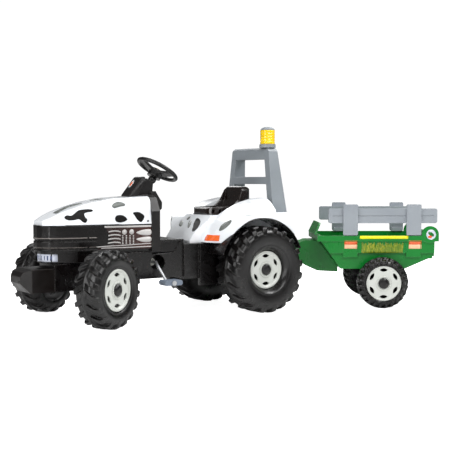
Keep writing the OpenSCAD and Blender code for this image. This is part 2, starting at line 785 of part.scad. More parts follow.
// The bucket seat with a low back and two slots in each side
module seat() {
  color("#1d1c1c") placed() difference() {
    intersection() {
      side_slab(concat(
        [[seat_front_x - 6, seat_under_z], [seat_front_x, seat_under_z + 6], [seat_front_x, seat_z - 6]],
        [[seat_front_x - 8, seat_z], [seat_back_x + 60, seat_z + 3], [seat_back_x + 38, seat_z + 22]],
        arc([seat_back_x + 4, seat_back_top_z - 18], 18, 45, 150, 5),
        [[seat_back_x - 18, seat_z + 20], [seat_back_x, seat_under_z]]
      ), -seat_half_w, seat_half_w);
      translate([0, 0, seat_under_z]) linear_extrude(seat_back_top_z) polygon(concat(
        arc([seat_front_x - 34, seat_half_w - 34], 34, 90, 0, 5),
        arc([seat_front_x - 34, 34 - seat_half_w], 34, 0, -90, 5),
        arc([seat_back_x + 12, 34 - seat_half_w], 34, -90, -170, 5),
        arc([seat_back_x + 12, seat_half_w - 34], 34, 170, 90, 5)
      ));
      // Outline from behind: the back narrows towards its top
      rotate([90, 0, 90]) translate([0, 0, -400]) linear_extrude(800) polygon(concat(
        [[seat_half_w, 0], [seat_half_w, seat_z + 14]],
        arc([seat_half_w - 32, seat_back_top_z - 26], 26, 20, 90, 5),
        arc([32 - seat_half_w, seat_back_top_z - 26], 26, 90, 160, 5),
        [[-seat_half_w, seat_z + 14], [-seat_half_w, 0]]
      ));
    }
    // Hollow of the bucket
    side_slab(concat(
      [[seat_front_x - 30, seat_z + 1], [seat_front_x - 44, seat_z - 8], [seat_back_x + 60, seat_z - 12]],
      [[seat_back_x + 36, seat_z - 4], [seat_back_x + 22, seat_z + 24], [seat_back_x + 15, seat_back_top_z]],
      [[seat_back_x + 60, seat_back_top_z], [seat_back_x + 90, seat_z + 3]]
    ), 12 - seat_half_w, seat_half_w - 12);
    // Slots through the seat's sides
    for (x = seat_slot_x) block([x, -seat_half_w - 1, seat_under_z + 5], [x + 9, seat_half_w + 1, seat_z - 7]);
  }
}

// Side outline of the white cover's fenders, set in by a wall
function fender_side(inset) = [
  [fender_front_x - inset, fender_low_z - 1], [fender_front_x - 4 - inset, fender_low_z + 15],
  [fender_front_x - 26 - inset, fender_low_z + 55], [fender_front_x - 44 - inset, fender_low_z + 75],
  [fender_front_x - 72 - inset, fender_low_z + 91], [fender_front_x - 104 - inset, fender_low_z + 109 - inset],
  [fender_front_x - 152 - inset, fender_low_z + 131 - inset], [-30, fender_top_z - 2 - inset],
  [ledge_x + inset, fender_top_z - inset], [ledge_x + inset, ledge_z - inset],
  [fender_back_x + 12 + inset, ledge_z - inset], [fender_back_x + 5 + inset, ledge_z - 12 - inset],
  [fender_back_x + inset, fender_low_z + 20], [fender_back_x + 60, fender_low_z + 20], [0, fender_low_z - 1]
];

// Section of the white cover across the tractor, set in by a wall
function cover_section(inset) = [
  [arch_outer_y - inset, 0], [arch_outer_y - inset, seat_under_z - 34],
  [arch_outer_y - 7 - inset, seat_under_z - 8], [arch_outer_y - 22 - inset, seat_z - 6 - inset],
  [arch_outer_y - 46 - inset, fender_top_z - 14 - inset], [arch_outer_y - 75, fender_top_z + 1 - inset],
  [75 - arch_outer_y, fender_top_z + 1 - inset], [46 + inset - arch_outer_y, fender_top_z - 14 - inset],
  [22 + inset - arch_outer_y, seat_z - 6 - inset], [7 + inset - arch_outer_y, seat_under_z - 8],
  [inset - arch_outer_y, seat_under_z - 34], [inset - arch_outer_y, 0]
];

// Outline of the white cover from above, set in by a wall
function cover_plan(inset) = [
  [fender_front_x - 54 - inset, inset - arch_outer_y], [fender_front_x - 30 - inset, inset - arch_outer_y + 32],
  [fender_front_x - inset, -arch_in_y], [fender_front_x - inset, arch_in_y],
  [fender_front_x - 30 - inset, arch_outer_y - 32 - inset], [fender_front_x - 54 - inset, arch_outer_y - inset],
  [fender_back_x + 26 + inset, arch_outer_y - inset], [fender_back_x + 4 + inset, arch_outer_y - 50],
  [fender_back_x + 4 + inset, 50 - arch_outer_y], [fender_back_x + 26 + inset, inset - arch_outer_y]
];

// Side outline of the raised saddle under the seat, set in by a wall
function saddle_side(inset) = [
  [saddle_front_x - inset, box_top_z - 1], [saddle_front_x - inset, cover_front_z],
  [saddle_front_x - 36 - inset, cover_front_z + 32], [seat_front_x + 24 - inset, seat_under_z - 20 - inset / 2],
  [seat_front_x + 4 - inset, seat_under_z - inset], [ledge_x - fender_t, seat_under_z - inset],
  [ledge_x - fender_t, box_top_z - 1]
];

// Both fenders as one solid, set in by a wall
module fender_form(inset) {
  intersection() {
    side_slab(fender_side(inset), -arch_outer_y, arch_outer_y);
    rotate([90, 0, 90]) translate([0, 0, -500]) linear_extrude(1000) polygon(cover_section(inset));
    linear_extrude(1000) polygon(cover_plan(inset));
  }
}

// The white cover: saddle and two rear fenders in one shell
module rear_cover() {
  color("#f3f4f4") placed() difference() {
    union() {
      difference() {
        fender_form(0);
        difference() {
          fender_form(fender_t);
          for (side = [-1, 1]) side_slab(
            [[-500, 0], [500, 0], [500, 600], [-500, 600]],
            side * (saddle_half_w + 2) - 2.5, side * (saddle_half_w + 2) + 2.5
          );
        }
        // Well for the seat between the fenders
        block([seat_well_back_x, -saddle_half_w, fender_low_z - 10], [500, saddle_half_w, fender_top_z + 10]);
      }
      difference() {
        side_slab(saddle_side(0), -saddle_half_w - 1, saddle_half_w + 1);
        side_slab(saddle_side(fender_t), 4 - saddle_half_w, saddle_half_w - 4);
      }
      // Wall at the back of the seat's well
      block([ledge_x - fender_t, -saddle_half_w - 1, seat_under_z - fender_t], [ledge_x, saddle_half_w + 1, ledge_z]);
    }
    // Wheel arches
    for (side = [-1, 1]) translate([0, 0, rear_axle_z])
      bar_y(arch_r, side * (arch_outer_y + arch_in_y) / 2 - arch_half_l, side * (arch_outer_y + arch_in_y) / 2 + arch_half_l);
    // Room for the chassis and its deck underneath
    block([rear_box_back_x - face_gap, -rear_box_half_w - face_gap, 0],
      [rear_box_front_x + 1 + face_gap, rear_box_half_w + face_gap, box_top_z + seat_clear]);
    block([0, -neck_half_w - face_gap, 0], [deck_back_x + 1 + face_gap, neck_half_w + face_gap, box_top_z + seat_clear]);
    block([deck_back_x, -chassis_half_w - face_gap, 0], [300, chassis_half_w + face_gap, deck_z + face_gap]);
  }
}

// The black liner inside one wheel arch
module arch_liner(side) {
  color("#151516") placed() scale_side(side) translate([0, 0, rear_axle_z]) difference() {
    bar_y(arch_r - liner_gap, arch_in_y, arch_outer_y - 1);
    bar_y(arch_r - liner_gap - liner_t, arch_in_y - 1, arch_outer_y);
    side_slab([
      [-2 * arch_r, -2 * arch_r], [2 * arch_r, -2 * arch_r], [2 * arch_r, fender_low_z - rear_axle_z + 2],
      [0, 20], [-2 * arch_r, fender_low_z - rear_axle_z + 26]
    ], 0, 2 * arch_r);
  }
}

// The roll bar, a tapered frame with a window between its head and its rail
module roll_bar() {
  lean = (bar_foot_half_w - bar_top_half_w) / (bar_top_z - bar_foot_z);
  color("#8b9094") placed() difference() {
    intersection() {
      side_slab([
        [bar_front_x, bar_foot_z], [bar_front_x - 4, bar_top_z - 6], [bar_front_x - 10, bar_top_z],
        [bar_front_x - bar_depth_top + 4, bar_top_z], [bar_front_x - bar_depth_top, bar_top_z - 6],
        [bar_front_x - bar_depth_foot, bar_foot_z]
      ], -bar_foot_half_w, bar_foot_half_w);
      translate([-400, 0, 0]) rotate([90, 0, 90]) linear_extrude(400) polygon([
        [-bar_foot_half_w, bar_foot_z], [-bar_top_half_w, bar_top_z - 12], [10 - bar_top_half_w, bar_top_z],
        [bar_top_half_w - 10, bar_top_z], [bar_top_half_w, bar_top_z - 12], [bar_foot_half_w, bar_foot_z]
      ]);
    }
    // Window and the open space below the rail
    for (span = [[bar_rail_top_z, bar_top_z - bar_head_h], [bar_foot_z - 1, bar_rail_low_z]])
      translate([-400, 0, 0]) rotate([90, 0, 90]) linear_extrude(400) polygon([
        for (corner = [[-1, 0], [-1, 1], [1, 1], [1, 0]])
          [corner[0] * (bar_foot_half_w - bar_width - lean * (span[corner[1]] - bar_foot_z)), span[corner[1]]]
      ]);
  }
}

// Black sockets that hold the roll bar's legs from the front
module bar_sockets() {
  color("#1a1a1b") placed() for (side = [-1, 1]) scale_side(side)
    block([bar_front_x + face_gap, bar_foot_half_w - bar_width + 2, bar_foot_z],
      [ledge_x - seat_clear, bar_foot_half_w - 4, fender_top_z - 14]);
}

// Beacon parts: drawn on the roll bar's top at the left-hand corner
module on_bar() {
  placed() translate([beacon_x, beacon_y, bar_top_z]) children();
}

module beacon_base() {
  color("#8b9094") on_bar() difference() {
    cylinder(d = beacon_d + 6, h = beacon_base_h);
    translate([0, 0, beacon_base_h - 4]) cylinder(d = beacon_d - 6, h = 5);
  }
}

module beacon_lens() {
  color("#f6c500") on_bar() translate([0, 0, beacon_base_h]) difference() {
    cylinder(d = beacon_d, h = beacon_lens_h);
    translate([0, 0, -1]) cylinder(d = beacon_d - 6, h = beacon_lens_h - 2);
  }
}

module beacon_cap() {
  color("#7d8286") on_bar() translate([0, 0, beacon_base_h + beacon_lens_h]) rotate_extrude()
    polygon([
      [0, 0], [beacon_d / 2 - 1, 0], [beacon_d / 2 - 1, 3], [beacon_d / 2 - 5, beacon_cap_h * 0.7],
      [beacon_d / 2 - 12, beacon_cap_h], [0, beacon_cap_h]
    ]);
}

// Pan-head screws: bonnet sides, weight block, and roll bar feet
module body_screws() {
  color("#4a4c4e") placed() {
    for (side = [-1, 1]) {
      translate([cowl_x + 14, side * (bonnet_half_w - 0.5), bonnet_z + 9]) scale_side(side)
        bar_y(screw_r, 0, screw_head_h);
      translate([chassis_front_x, side * weight_half_w / 2, (weight_low_z + weight_top_z) / 2])
        rotate([0, 90, 0]) cylinder(r = screw_r, h = weight_front_x - chassis_front_x - 2);
    }
  }
}

// Flanged bushes that carry the crank in the chassis webs
module crank_bushes() {
  color("#d9d6cc") placed() translate([crank_x, 0, crank_z]) for (side = [-1, 1]) scale_side(side)
    flanged_bush(crank_r, web_y - web_t / 2, web_y + web_t / 2);
}

// Flanged bushes that carry the rear axle in the chassis sides
module axle_bushes() {
  color("#d9d6cc") placed() translate([0, 0, rear_axle_z]) for (side = [-1, 1]) scale_side(side)
    flanged_bush(axle_r, rear_box_half_w - 12, rear_box_half_w);
}

// A bush for a shaft of radius r, filling its bore from y0 to y1, with its flange outside y1
module flanged_bush(r, y0, y1) {
  difference() {
    union() {
      bar_y(bush_r - seat_clear / 2, y0, y1 + 1);
      bar_y(bush_flange_r, y1, y1 + bush_flange_t);
    }
    bar_y(r + run_clear, y0 - 1, y1 + bush_flange_t + 1);
  }
}

// The beam that joins both kingpins
module front_axle_beam() {
  color("#2a2b2d") placed() translate([wheelbase, 0, front_axle_z - beam_half_h]) difference() {
    union() {
      block([-beam_half_t, -kingpin_y, 0], [beam_half_t, kingpin_y, 2 * beam_half_h]);
      for (side = [-1, 1]) translate([0, side * kingpin_y, 0])
        cylinder(r = kingpin_boss_r, h = 2 * beam_half_h);
    }
    for (side = [-1, 1]) translate([0, side * kingpin_y, -1])
      cylinder(r = kingpin_r + run_clear, h = 2 * beam_half_h + 2);
  }
}

// The clevis at the back of the chassis that takes the hitch pin
module tow_bracket() {
  color("#303234") placed() difference() {
    union() {
      block([hitch_x, -hitch_half_w, hitch_z - tongue_t / 2 - face_gap - clevis_t],
        [rear_box_back_x, hitch_half_w, hitch_z - tongue_t / 2 - face_gap]);
      block([hitch_x, -hitch_half_w, hitch_z + tongue_t / 2 + face_gap],
        [rear_box_back_x, hitch_half_w, hitch_z + tongue_t / 2 + face_gap + clevis_t]);
      for (z = [hitch_z - tongue_t / 2 - face_gap - clevis_t, hitch_z + tongue_t / 2 + face_gap])
        translate([hitch_x, 0, z]) cylinder(r = hitch_half_w, h = clevis_t);
      block([rear_box_back_x - 5, -hitch_half_w, hitch_z - tongue_t / 2 - clevis_t],
        [rear_box_back_x, hitch_half_w, hitch_z + tongue_t / 2 + clevis_t]);
    }
    translate([hitch_x, 0, hitch_z - 50]) cylinder(r = hitch_pin_r + seat_clear / 2, h = 100);
  }
}

// The drop-in hitch pin with its ring head
module hitch_pin() {
  color("#b9bcbf") placed() translate([hitch_x, 0, hitch_z]) {
    translate([0, 0, -tongue_t / 2 - clevis_t - 10])
      cylinder(r = hitch_pin_r, h = tongue_t + 2 * clevis_t + 12 + face_gap);
    translate([0, 0, tongue_t / 2 + clevis_t + face_gap]) cylinder(r = hitch_pin_r + 4, h = 3);
    translate([0, 0, tongue_t / 2 + clevis_t + face_gap + 15]) rotate([90, 0, 0])
      rotate_extrude() translate([14, 0]) circle(2.5, $fn = 32);
  }
}

// ---- Steering ----

// The bent steel rod from the steering wheel down to the ball in the tie rod's fork
module steering_column() {
  color("#9fa3a6") on_column() {
    translate([0, 0, -column_drop]) cylinder(r = column_r, h = column_drop - boss_h + 12);
    translate([0, 0, -column_drop]) sphere(column_r);
    translate([-steer_arm, 0, -column_drop]) rotate([0, 90, 0]) cylinder(r = column_r - 1, h = steer_arm);
    translate([-steer_arm, 0, -column_drop]) sphere(column_r - 1);
    translate([-steer_arm, 0, -column_drop - ball_drop]) cylinder(r = column_r - 1, h = ball_drop);
    translate([-steer_arm, 0, -column_drop - ball_drop]) sphere(ball_r);
  }
}

// The steering wheel: rim, three spokes, boss and a ball-shaped collar
module steering_wheel() {
  rim_r = steering_wheel_d / 2 - wheel_rim_r;
  color("#19191a") on_column() difference() {
    union() {
      rotate_extrude() translate([rim_r, 0]) circle(wheel_rim_r, $fn = 32);
      for (a = [90, 210, 330]) rotate([0, 0, a]) hull() {
        translate([rim_r - 3, 0, 0]) cube([4, 22, spoke_t], center = true);
        translate([boss_r - 8, 0, -12]) cube([4, 34, spoke_t + 2], center = true);
      }
      translate([0, 0, -boss_h]) cylinder(r = boss_r, h = boss_h - 3);
      translate([0, 0, -boss_h - 10]) sphere(collar_r);
    }
    translate([0, 0, -column_drop]) cylinder(r = column_r + seat_clear / 2, h = column_drop - boss_h + 12.5);
    translate([0, 0, -boss_h / 2 + 3]) cylinder(r = horn_r + face_gap, h = boss_h);
  }
}

// The horn button sunk in the steering wheel's boss
module horn_button() {
  color("#c9a227") on_column() translate([0, 0, -boss_h / 2 + 3 + horn_travel + face_gap]) rotate_extrude()
    polygon([
      [0, 0], [horn_r, 0], [horn_r, horn_h], [horn_r - 4, horn_h + 3], [0, horn_h + 4]
    ]);
}

// The tie rod with a tongue and a fork that holds the column's ball
module tie_rod() {
  reach = tie_x - ball_x;
  color("#2c2d30") placed()
    translate([wheelbase - steer_arm * cos(steer_rest), -steer_arm * sin(steer_rest), tie_low_z])
      difference() {
        union() {
          block([-tie_bar_half_w, -kingpin_y, 0], [tie_bar_half_w, kingpin_y, tie_t]);
          for (side = [-1, 1]) translate([0, side * kingpin_y, 0]) cylinder(r = tie_bar_half_w, h = tie_t);
          block([-reach + ball_r + 7, -fork_gap - fork_wall, 0], [0, fork_gap + fork_wall, tie_t]);
          for (side = [-1, 1]) scale_side(side) {
            block([-reach - 12, fork_gap, ball_z - tie_low_z - 9],
              [-reach + ball_r + 9, fork_gap + fork_wall, ball_z - tie_low_z + 9]);
            block([-reach + ball_r + 3, fork_gap, ball_z - tie_low_z - 9],
              [-reach + ball_r + 9, fork_gap + fork_wall, tie_t]);
          }
        }
        for (side = [-1, 1]) translate([0, side * kingpin_y, -1])
          cylinder(r = tie_pin_r + run_clear, h = tie_t + 2);
      }
}

// A steered stub axle: a yoke round the beam's end, its kingpin, its steering arm and the wheel's spindle
module knuckle(side) {
  top_z = front_axle_z + beam_half_h + knuckle_gap;
  low_z = front_axle_z - beam_half_h - knuckle_gap - knuckle_t;
  web_in_y = kingpin_boss_r + 2;
  web_out_y = web_in_y + 5;
  boss_y = stub_reach + front_recess - front_tyre_w + front_dish;
  color("#3a3c3f") steered(side) {
    for (z = [low_z, top_z]) translate([0, 0, z]) linear_extrude(knuckle_t) {
      circle(kingpin_boss_r);
      translate([-12, 0]) square([24, web_out_y]);
    }
    block([-12, web_in_y, low_z], [12, web_out_y, top_z + knuckle_t]);
    translate([0, 0, low_z]) cylinder(r = kingpin_r, h = top_z - low_z + 1);
    translate([0, 0, front_axle_z]) bar_y(axle_r, web_out_y - 1, stub_reach + axle_out);
    translate([0, 0, front_axle_z]) bar_y(axle_r + 4, web_out_y - 1, boss_y - face_gap);
    translate([0, 0, top_z]) linear_extrude(knuckle_t) {
      translate([-steer_arm, 0]) circle(tie_bar_half_w);
      translate([-steer_arm, 1 - tie_bar_half_w]) square([steer_arm, 2 * tie_bar_half_w - 2]);
    }
    translate([-steer_arm, 0, top_z + 1]) cylinder(r = tie_pin_r, h = tie_low_z + tie_t + 3 - top_z - 1);
  }
}

// ---- Pedals and chain ----

// The solid rear axle through both wheels and the driven sprocket
module rear_axle() {
  color("#a4a8ab") placed() translate([0, 0, rear_axle_z])
    bar_y(axle_r, -rear_plate_y - axle_out, rear_plate_y + axle_out);
}

// A chain sprocket: teeth that stand between the chain's plates
module sprocket(bore_r, phase) {
  color("#7c8083") difference() {
    union() {
      bar_y(chain_pitch_r - 3, -sprocket_t / 2, sprocket_t / 2);
      for (i = [0:sprocket_teeth - 1]) rotate([0, 360 * (i + phase) / sprocket_teeth, 0])
        side_slab([[-3, 0], [-1, 6 + chain_pitch_r - 3], [1, 6 + chain_pitch_r - 3], [3, 0]],
          -sprocket_t / 2, sprocket_t / 2);
      bar_y(bore_r + 6, -6, 6);
    }
    bar_y(bore_r, -7, 7);
  }
}

module driven_sprocket() {
  placed() translate([0, chain_y, rear_axle_z]) sprocket(axle_r + seat_clear / 2, 0);
}

module drive_sprocket() {
  cranked() translate([0, chain_y, 0]) sprocket(crank_r + seat_clear / 2, 0);
}

// The chain, drawn as its two runs of side plates round both sprockets
module chain() {
  run = norm([crank_x, crank_z - rear_axle_z]);
  rise = atan2(crank_z - rear_axle_z, crank_x);
  color("#6b6e70") placed() translate([0, chain_y, rear_axle_z]) rotate([0, -rise, 0])
    for (side = [-1, 1]) scale_side(side) difference() {
      chain_loop(run, chain_pitch_r + chain_plate_h / 2, chain_gap / 2, chain_gap / 2 + chain_plate_t);
      chain_loop(run, chain_pitch_r - chain_plate_h / 2, chain_gap / 2 - 1, chain_gap / 2 + chain_plate_t + 1);
    }
}

// A closed loop of radius r round two centres that lie a run apart along X
module chain_loop(run, r, y0, y1) {
  bar_y(r, y0, y1);
  translate([run, 0, 0]) bar_y(r, y0, y1);
  block([0, y0, -r], [run, y1, r]);
}

// The crank: one rod bent out to a pedal on each side
module crank() {
  color("#b4b8ba") cranked() {
    bar_y(crank_r, -crank_bend_y - 2, crank_bend_y + 2);
    for (side = [-1, 1]) scale_side(side) {
      rod([0, crank_bend_y, 0], [side * crank_arm, crank_out_y, 0], crank_r);
      translate([side * crank_arm, 0, 0]) {
        bar_y(crank_r, crank_out_y - 2, crank_out_y + pedal_pin_l);
        bar_y(crank_r + 3, crank_out_y + pedal_pin_l - 1, crank_out_y + pedal_pin_l + 2);
      }
    }
  }
}

// A pedal, level at rest, that turns on its crank pin
module pedal(side) {
  arm_x = crank_x + side * crank_arm * cos(crank_rest);
  arm_z = crank_z - side * crank_arm * sin(crank_rest);
  in_y = crank_out_y + crank_r + face_gap;
  color("#8795a3") placed() translate([arm_x, 0, arm_z]) scale_side(side) difference() {
    union() {
      bar_y(crank_r + 4, in_y, in_y + pedal_w);
      translate([0, in_y, 0]) rotate([90, 0, 0]) mirror([0, 0, 1]) linear_extrude(pedal_w) polygon([
        [-pedal_l / 2, -3], [4 - pedal_l / 2, -8], [pedal_l / 2 - 4, -8], [pedal_l / 2, -3],
        [pedal_l / 2, 5], [pedal_l / 2 - 6, 9], [6 - pedal_l / 2, 9], [-pedal_l / 2, 5]
      ]);
    }
    bar_y(crank_r + run_clear, in_y - 1, in_y + pedal_w + 1);
  }
}

// ---- Trailer ----

// Where the tub's sloping front wall stands at height z
function tub_front_at(z) = tub_front_low_x
  + (tub_front_x - 14 - tub_front_low_x) * (z - tub_floor_z) / (tub_rim_z - rim_h - tub_floor_z);

// The load tub: tapered floor, rimmed sides, axle legs and the tailgate's ears
module trailer_tub() {
  low_in = tub_low_half_w - tub_wall;
  color("#0c7a33") towed() difference() {
    union() {
      difference() {
        union() {
          side_slab([
            [tub_front_low_x, tub_floor_z], [tub_front_x - 14, tub_rim_z - rim_h], [tub_front_x - 10, tub_rim_z],
            [tub_back_x + 12, tub_rim_z], [tub_back_lip_x, tub_back_lip_z], [tub_back_lip_x + 14, tub_back_lip_z],
            [tub_back_low_x, tub_floor_z]
          ], -tub_low_half_w, tub_low_half_w);
          side_slab([
            [tub_back_x + 12, tub_step_z], [tub_front_at(tub_step_z), tub_step_z],
            [tub_front_x - 14, tub_rim_z - rim_h], [tub_front_x - 12, tub_rim_z], [tub_back_x + 12, tub_rim_z]
          ], -tub_half_w, tub_half_w);
          block([tub_back_x + 10, -tub_half_w - rim_out, tub_rim_z - rim_h],
            [tub_front_x, tub_half_w + rim_out, tub_rim_z]);
        }
        // Inside of the tub, open at the top and at the back
        side_slab([
          [tub_front_low_x - 4, tub_floor_z + tub_wall], [tub_front_x - 20, tub_rim_z - rim_h],
          [tub_front_x - 16, tub_rim_z + 1], [tub_back_x - 10, tub_rim_z + 1], [tub_back_x - 10, tub_back_lip_z + 6],
          [tub_back_lip_x + 12, tub_back_lip_z + 6], [tub_back_low_x + 2, tub_floor_z + tub_wall]
        ], -low_in, low_in);
        side_slab([
          [tub_back_x - 1, tub_step_z + tub_wall], [tub_front_at(tub_step_z) - tub_wall, tub_step_z + tub_wall],
          [tub_front_x - 20, tub_rim_z - rim_h], [tub_front_x - 18, tub_rim_z + 1], [tub_back_x - 1, tub_rim_z + 1]
        ], tub_wall - tub_half_w, tub_half_w - tub_wall);
      }
      // Pockets under the fence posts
      for (side = [-1, 1], x = post_x) scale_side(side)
        block([x - post_w / 2, tub_low_half_w - 1, tub_step_z - 14], [x + post_w / 2, tub_half_w + 1, tub_rim_z - rim_h + 1]);
      // Legs that carry the axle
      for (side = [-1, 1]) scale_side(side) translate([-trailer_axle_x, 0, 0]) {
        side_slab([
          [-leg_half_l, tub_floor_z + 1], [leg_half_l, tub_floor_z + 1], [leg_boss_r, trailer_axle_z],
          [-leg_boss_r, trailer_axle_z]
        ], leg_y, leg_y + leg_t);
        translate([0, 0, trailer_axle_z]) bar_y(leg_boss_r, leg_y, leg_y + leg_t);
      }
      // Ears that hold the tailgate's pins
      for (side = [-1, 1]) scale_side(side) translate([ear_x, 0, ear_z]) {
        bar_y(ear_r, tub_half_w - 3, tub_half_w + rim_out);
        block([-ear_r, tub_half_w - 3, -ear_r + 6], [ear_r, tub_half_w + rim_out, 0]);
      }
    }
    for (side = [-1, 1]) scale_side(side) {
      translate([-trailer_axle_x, 0, trailer_axle_z]) bar_y(axle_r + seat_clear / 2, leg_y - 1, leg_y + leg_t + 1);
      translate([ear_x, 0, ear_z]) bar_y(gate_pin_r + run_clear, 0, tub_half_w + rim_out - 3);
    }
  }
}

// The tailgate, hung on a pin at each upper corner
module tailgate() {
  hang_z = ear_z - gate_low_z;
  color("#0a6b2c") towed() translate([ear_x, 0, ear_z]) {
    for (side = [-1, 1]) scale_side(side) {
      bar_y(gate_pin_r, gate_half_w - 2, tub_half_w + rim_out - 3.5);
      bar_y(gate_pin_r + 5, gate_half_w - 12, gate_half_w);
    }
    block([-gate_t - 12, -gate_half_w, -hang_z], [-12, gate_half_w, 8]);
    block([-13, -gate_half_w, -gate_pin_r - 4], [0, gate_half_w, gate_pin_r + 3]);
  }
}

// The sloping board on the front rim
module headboard() {
  color("#0c7a33") towed() difference() {
    translate([tub_front_x, 0, tub_rim_z]) rotate([0, -24, 0]) translate([0, -head_half_w, 0]) rotate([90, 0, 90])
      linear_extrude(head_t) polygon(concat(
        [[0, 0]], arc([26, head_h - 16], 16, 150, 90, 3), arc([2 * head_half_w - 26, head_h - 16], 16, 90, 30, 3),
        [[2 * head_half_w, 0]]
      ));
    block([tub_front_x - 60, -tub_half_w, 0], [tub_front_x + 60, tub_half_w, tub_rim_z]);
  }
}

// The drawbar: a deep shell under the tub's front with a tongue that reaches the hitch pin
module drawbar() {
  color("#0b7330") towed() difference() {
    union() {
      difference() {
        side_slab(concat(
          [[tub_front_low_x - face_gap, drawbar_floor_z], [tub_front_low_x - face_gap, tub_floor_z - seat_clear]],
          [[tub_front_low_x + seat_clear, tub_floor_z - seat_clear], [tub_front_x - 13, tub_rim_z - rim_h - 2]],
          [[tub_front_x + 32, tub_rim_z - rim_h - 2]],
          [[drawbar_front_x, tub_rim_z - rim_h - 14], [drawbar_front_x + 2, hitch_z + 26]],
          [[drawbar_front_x - 4, hitch_z - 14], [drawbar_front_x - 30, drawbar_floor_z + 24]],
          [[drawbar_front_x - 74, drawbar_floor_z + 4]]
        ), -drawbar_half_w, drawbar_half_w);
        side_slab([
          [tub_front_low_x + 6, drawbar_floor_z - 1], [tub_front_low_x + 8, tub_floor_z - 4],
          [tub_front_x - 10, tub_rim_z - rim_h - 8], [drawbar_front_x - 6, tub_rim_z - rim_h - 20],
          [drawbar_front_x - 12, hitch_z - 12], [drawbar_front_x - 36, drawbar_floor_z + 26],
          [drawbar_front_x - 74, drawbar_floor_z + 8], [drawbar_front_x - 76, drawbar_floor_z - 1]
        ], tub_wall - drawbar_half_w, drawbar_half_w - tub_wall);
      }
      block([drawbar_front_x - 7, -tongue_half_w, hitch_z - tongue_t / 2], [0, tongue_half_w, hitch_z + tongue_t / 2]);
      translate([0, 0, hitch_z - tongue_t / 2]) cylinder(r = tongue_half_w, h = tongue_t);
    }
    translate([0, 0, hitch_z - 50]) cylinder(r = hitch_pin_r + run_clear, h = 100);
  }
}

// The steel axle through the tub's legs
module trailer_axle() {
  color("#a4a8ab") towed() translate([-trailer_axle_x, 0, trailer_axle_z])
    bar_y(axle_r, -trailer_plate_y - axle_out, trailer_plate_y + axle_out);
}

// One fence rail with a groove along its outer face
module fence_rail(side) {
  color("#8b9094") towed() scale_side(side) difference() {
    translate([rail_back_x, rail_out_y, rail_low_z]) rotate([90, 0, 0])
      round_plate([rail_front_x - rail_back_x, rail_h], 7, rail_t);
    block([rail_back_x + 14, rail_out_y - 1.5, rail_low_z + rail_h / 2 - 1.5],
      [rail_front_x - 14, rail_out_y + 1, rail_low_z + rail_h / 2 + 1.5]);
  }
}

// The four posts that stand in the tub's pockets, outside the rails
module fence_posts() {
  color("#90959a") towed() for (side = [-1, 1], x = post_x) scale_side(side) {
    translate([x - post_w / 2, post_y + post_t - 4, post_foot_z]) rotate([90, 0, 0])
      round_plate([post_w, fence_top_z - post_foot_z], 5, post_t - 4);
    block([x - post_w / 2 + 4, post_y - rim_out - 6, tub_rim_z], [x + post_w / 2 - 4, post_y + 1, tub_rim_z + 14]);
  }
}

chassis();
front_weight();
nose_cover();
bonnet();
dash_cowl();
instrument_pod();
seat();
rear_cover();
arch_liner(1);  // arch_liner_left
arch_liner(-1);  // arch_liner_right
roll_bar();
bar_sockets();
beacon_base();
beacon_lens();
beacon_cap();
body_screws();
crank_bushes();
axle_bushes();
front_axle_beam();
tow_bracket();
hitch_pin();
steering_column();
steering_wheel();
horn_button();
tie_rod();
knuckle(1);  // knuckle_left
knuckle(-1);  // knuckle_right
front_tyre(1);  // front_tyre_left
front_tyre(-1);  // front_tyre_right
at_front(1) wheel_plate();  // front_plate_left
at_front(-1) wheel_plate();  // front_plate_right
at_front(1) wheel_cap();  // front_cap_left
at_front(-1) wheel_cap();  // front_cap_right
rear_axle();
driven_sprocket();
rear_tyre(1);  // rear_tyre_left
rear_tyre(-1);  // rear_tyre_right
at_rear(1) wheel_plate();  // rear_plate_left
at_rear(-1) wheel_plate();  // rear_plate_right
at_rear(1) wheel_cap();  // rear_cap_left
at_rear(-1) wheel_cap();  // rear_cap_right
crank();
drive_sprocket();
pedal(1);  // pedal_left
pedal(-1);  // pedal_right
chain();
trailer_tub();
tailgate();
headboard();
drawbar();
trailer_axle();
fence_rail(1);  // fence_rail_left
fence_rail(-1);  // fence_rail_right
fence_posts();
trailer_tyre(1);  // trailer_tyre_left
trailer_tyre(-1);  // trailer_tyre_right
at_trailer(1) wheel_plate();  // trailer_plate_left
at_trailer(-1) wheel_plate();  // trailer_plate_right
at_trailer(1) wheel_cap();  // trailer_cap_left
at_trailer(-1) wheel_cap();  // trailer_cap_right
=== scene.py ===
import json
import math
import bmesh
import bpy
from mathutils import Matrix, Vector
from mathutils.bvhtree import BVHTree


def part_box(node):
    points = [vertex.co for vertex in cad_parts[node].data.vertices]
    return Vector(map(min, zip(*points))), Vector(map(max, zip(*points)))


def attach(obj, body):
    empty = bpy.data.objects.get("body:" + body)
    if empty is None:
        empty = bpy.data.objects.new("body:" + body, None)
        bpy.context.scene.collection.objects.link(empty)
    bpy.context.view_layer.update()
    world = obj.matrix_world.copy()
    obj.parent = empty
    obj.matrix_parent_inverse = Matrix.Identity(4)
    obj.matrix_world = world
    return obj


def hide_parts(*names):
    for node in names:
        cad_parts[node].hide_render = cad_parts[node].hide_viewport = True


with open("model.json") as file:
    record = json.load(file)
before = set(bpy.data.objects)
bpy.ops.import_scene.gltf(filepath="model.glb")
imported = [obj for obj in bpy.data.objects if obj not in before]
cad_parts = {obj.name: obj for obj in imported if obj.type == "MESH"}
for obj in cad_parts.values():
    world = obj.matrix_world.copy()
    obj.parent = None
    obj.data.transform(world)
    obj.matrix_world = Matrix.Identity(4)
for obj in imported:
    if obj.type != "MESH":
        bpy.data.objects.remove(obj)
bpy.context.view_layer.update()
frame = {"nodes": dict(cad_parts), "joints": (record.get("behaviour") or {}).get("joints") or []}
cad = frame["nodes"]

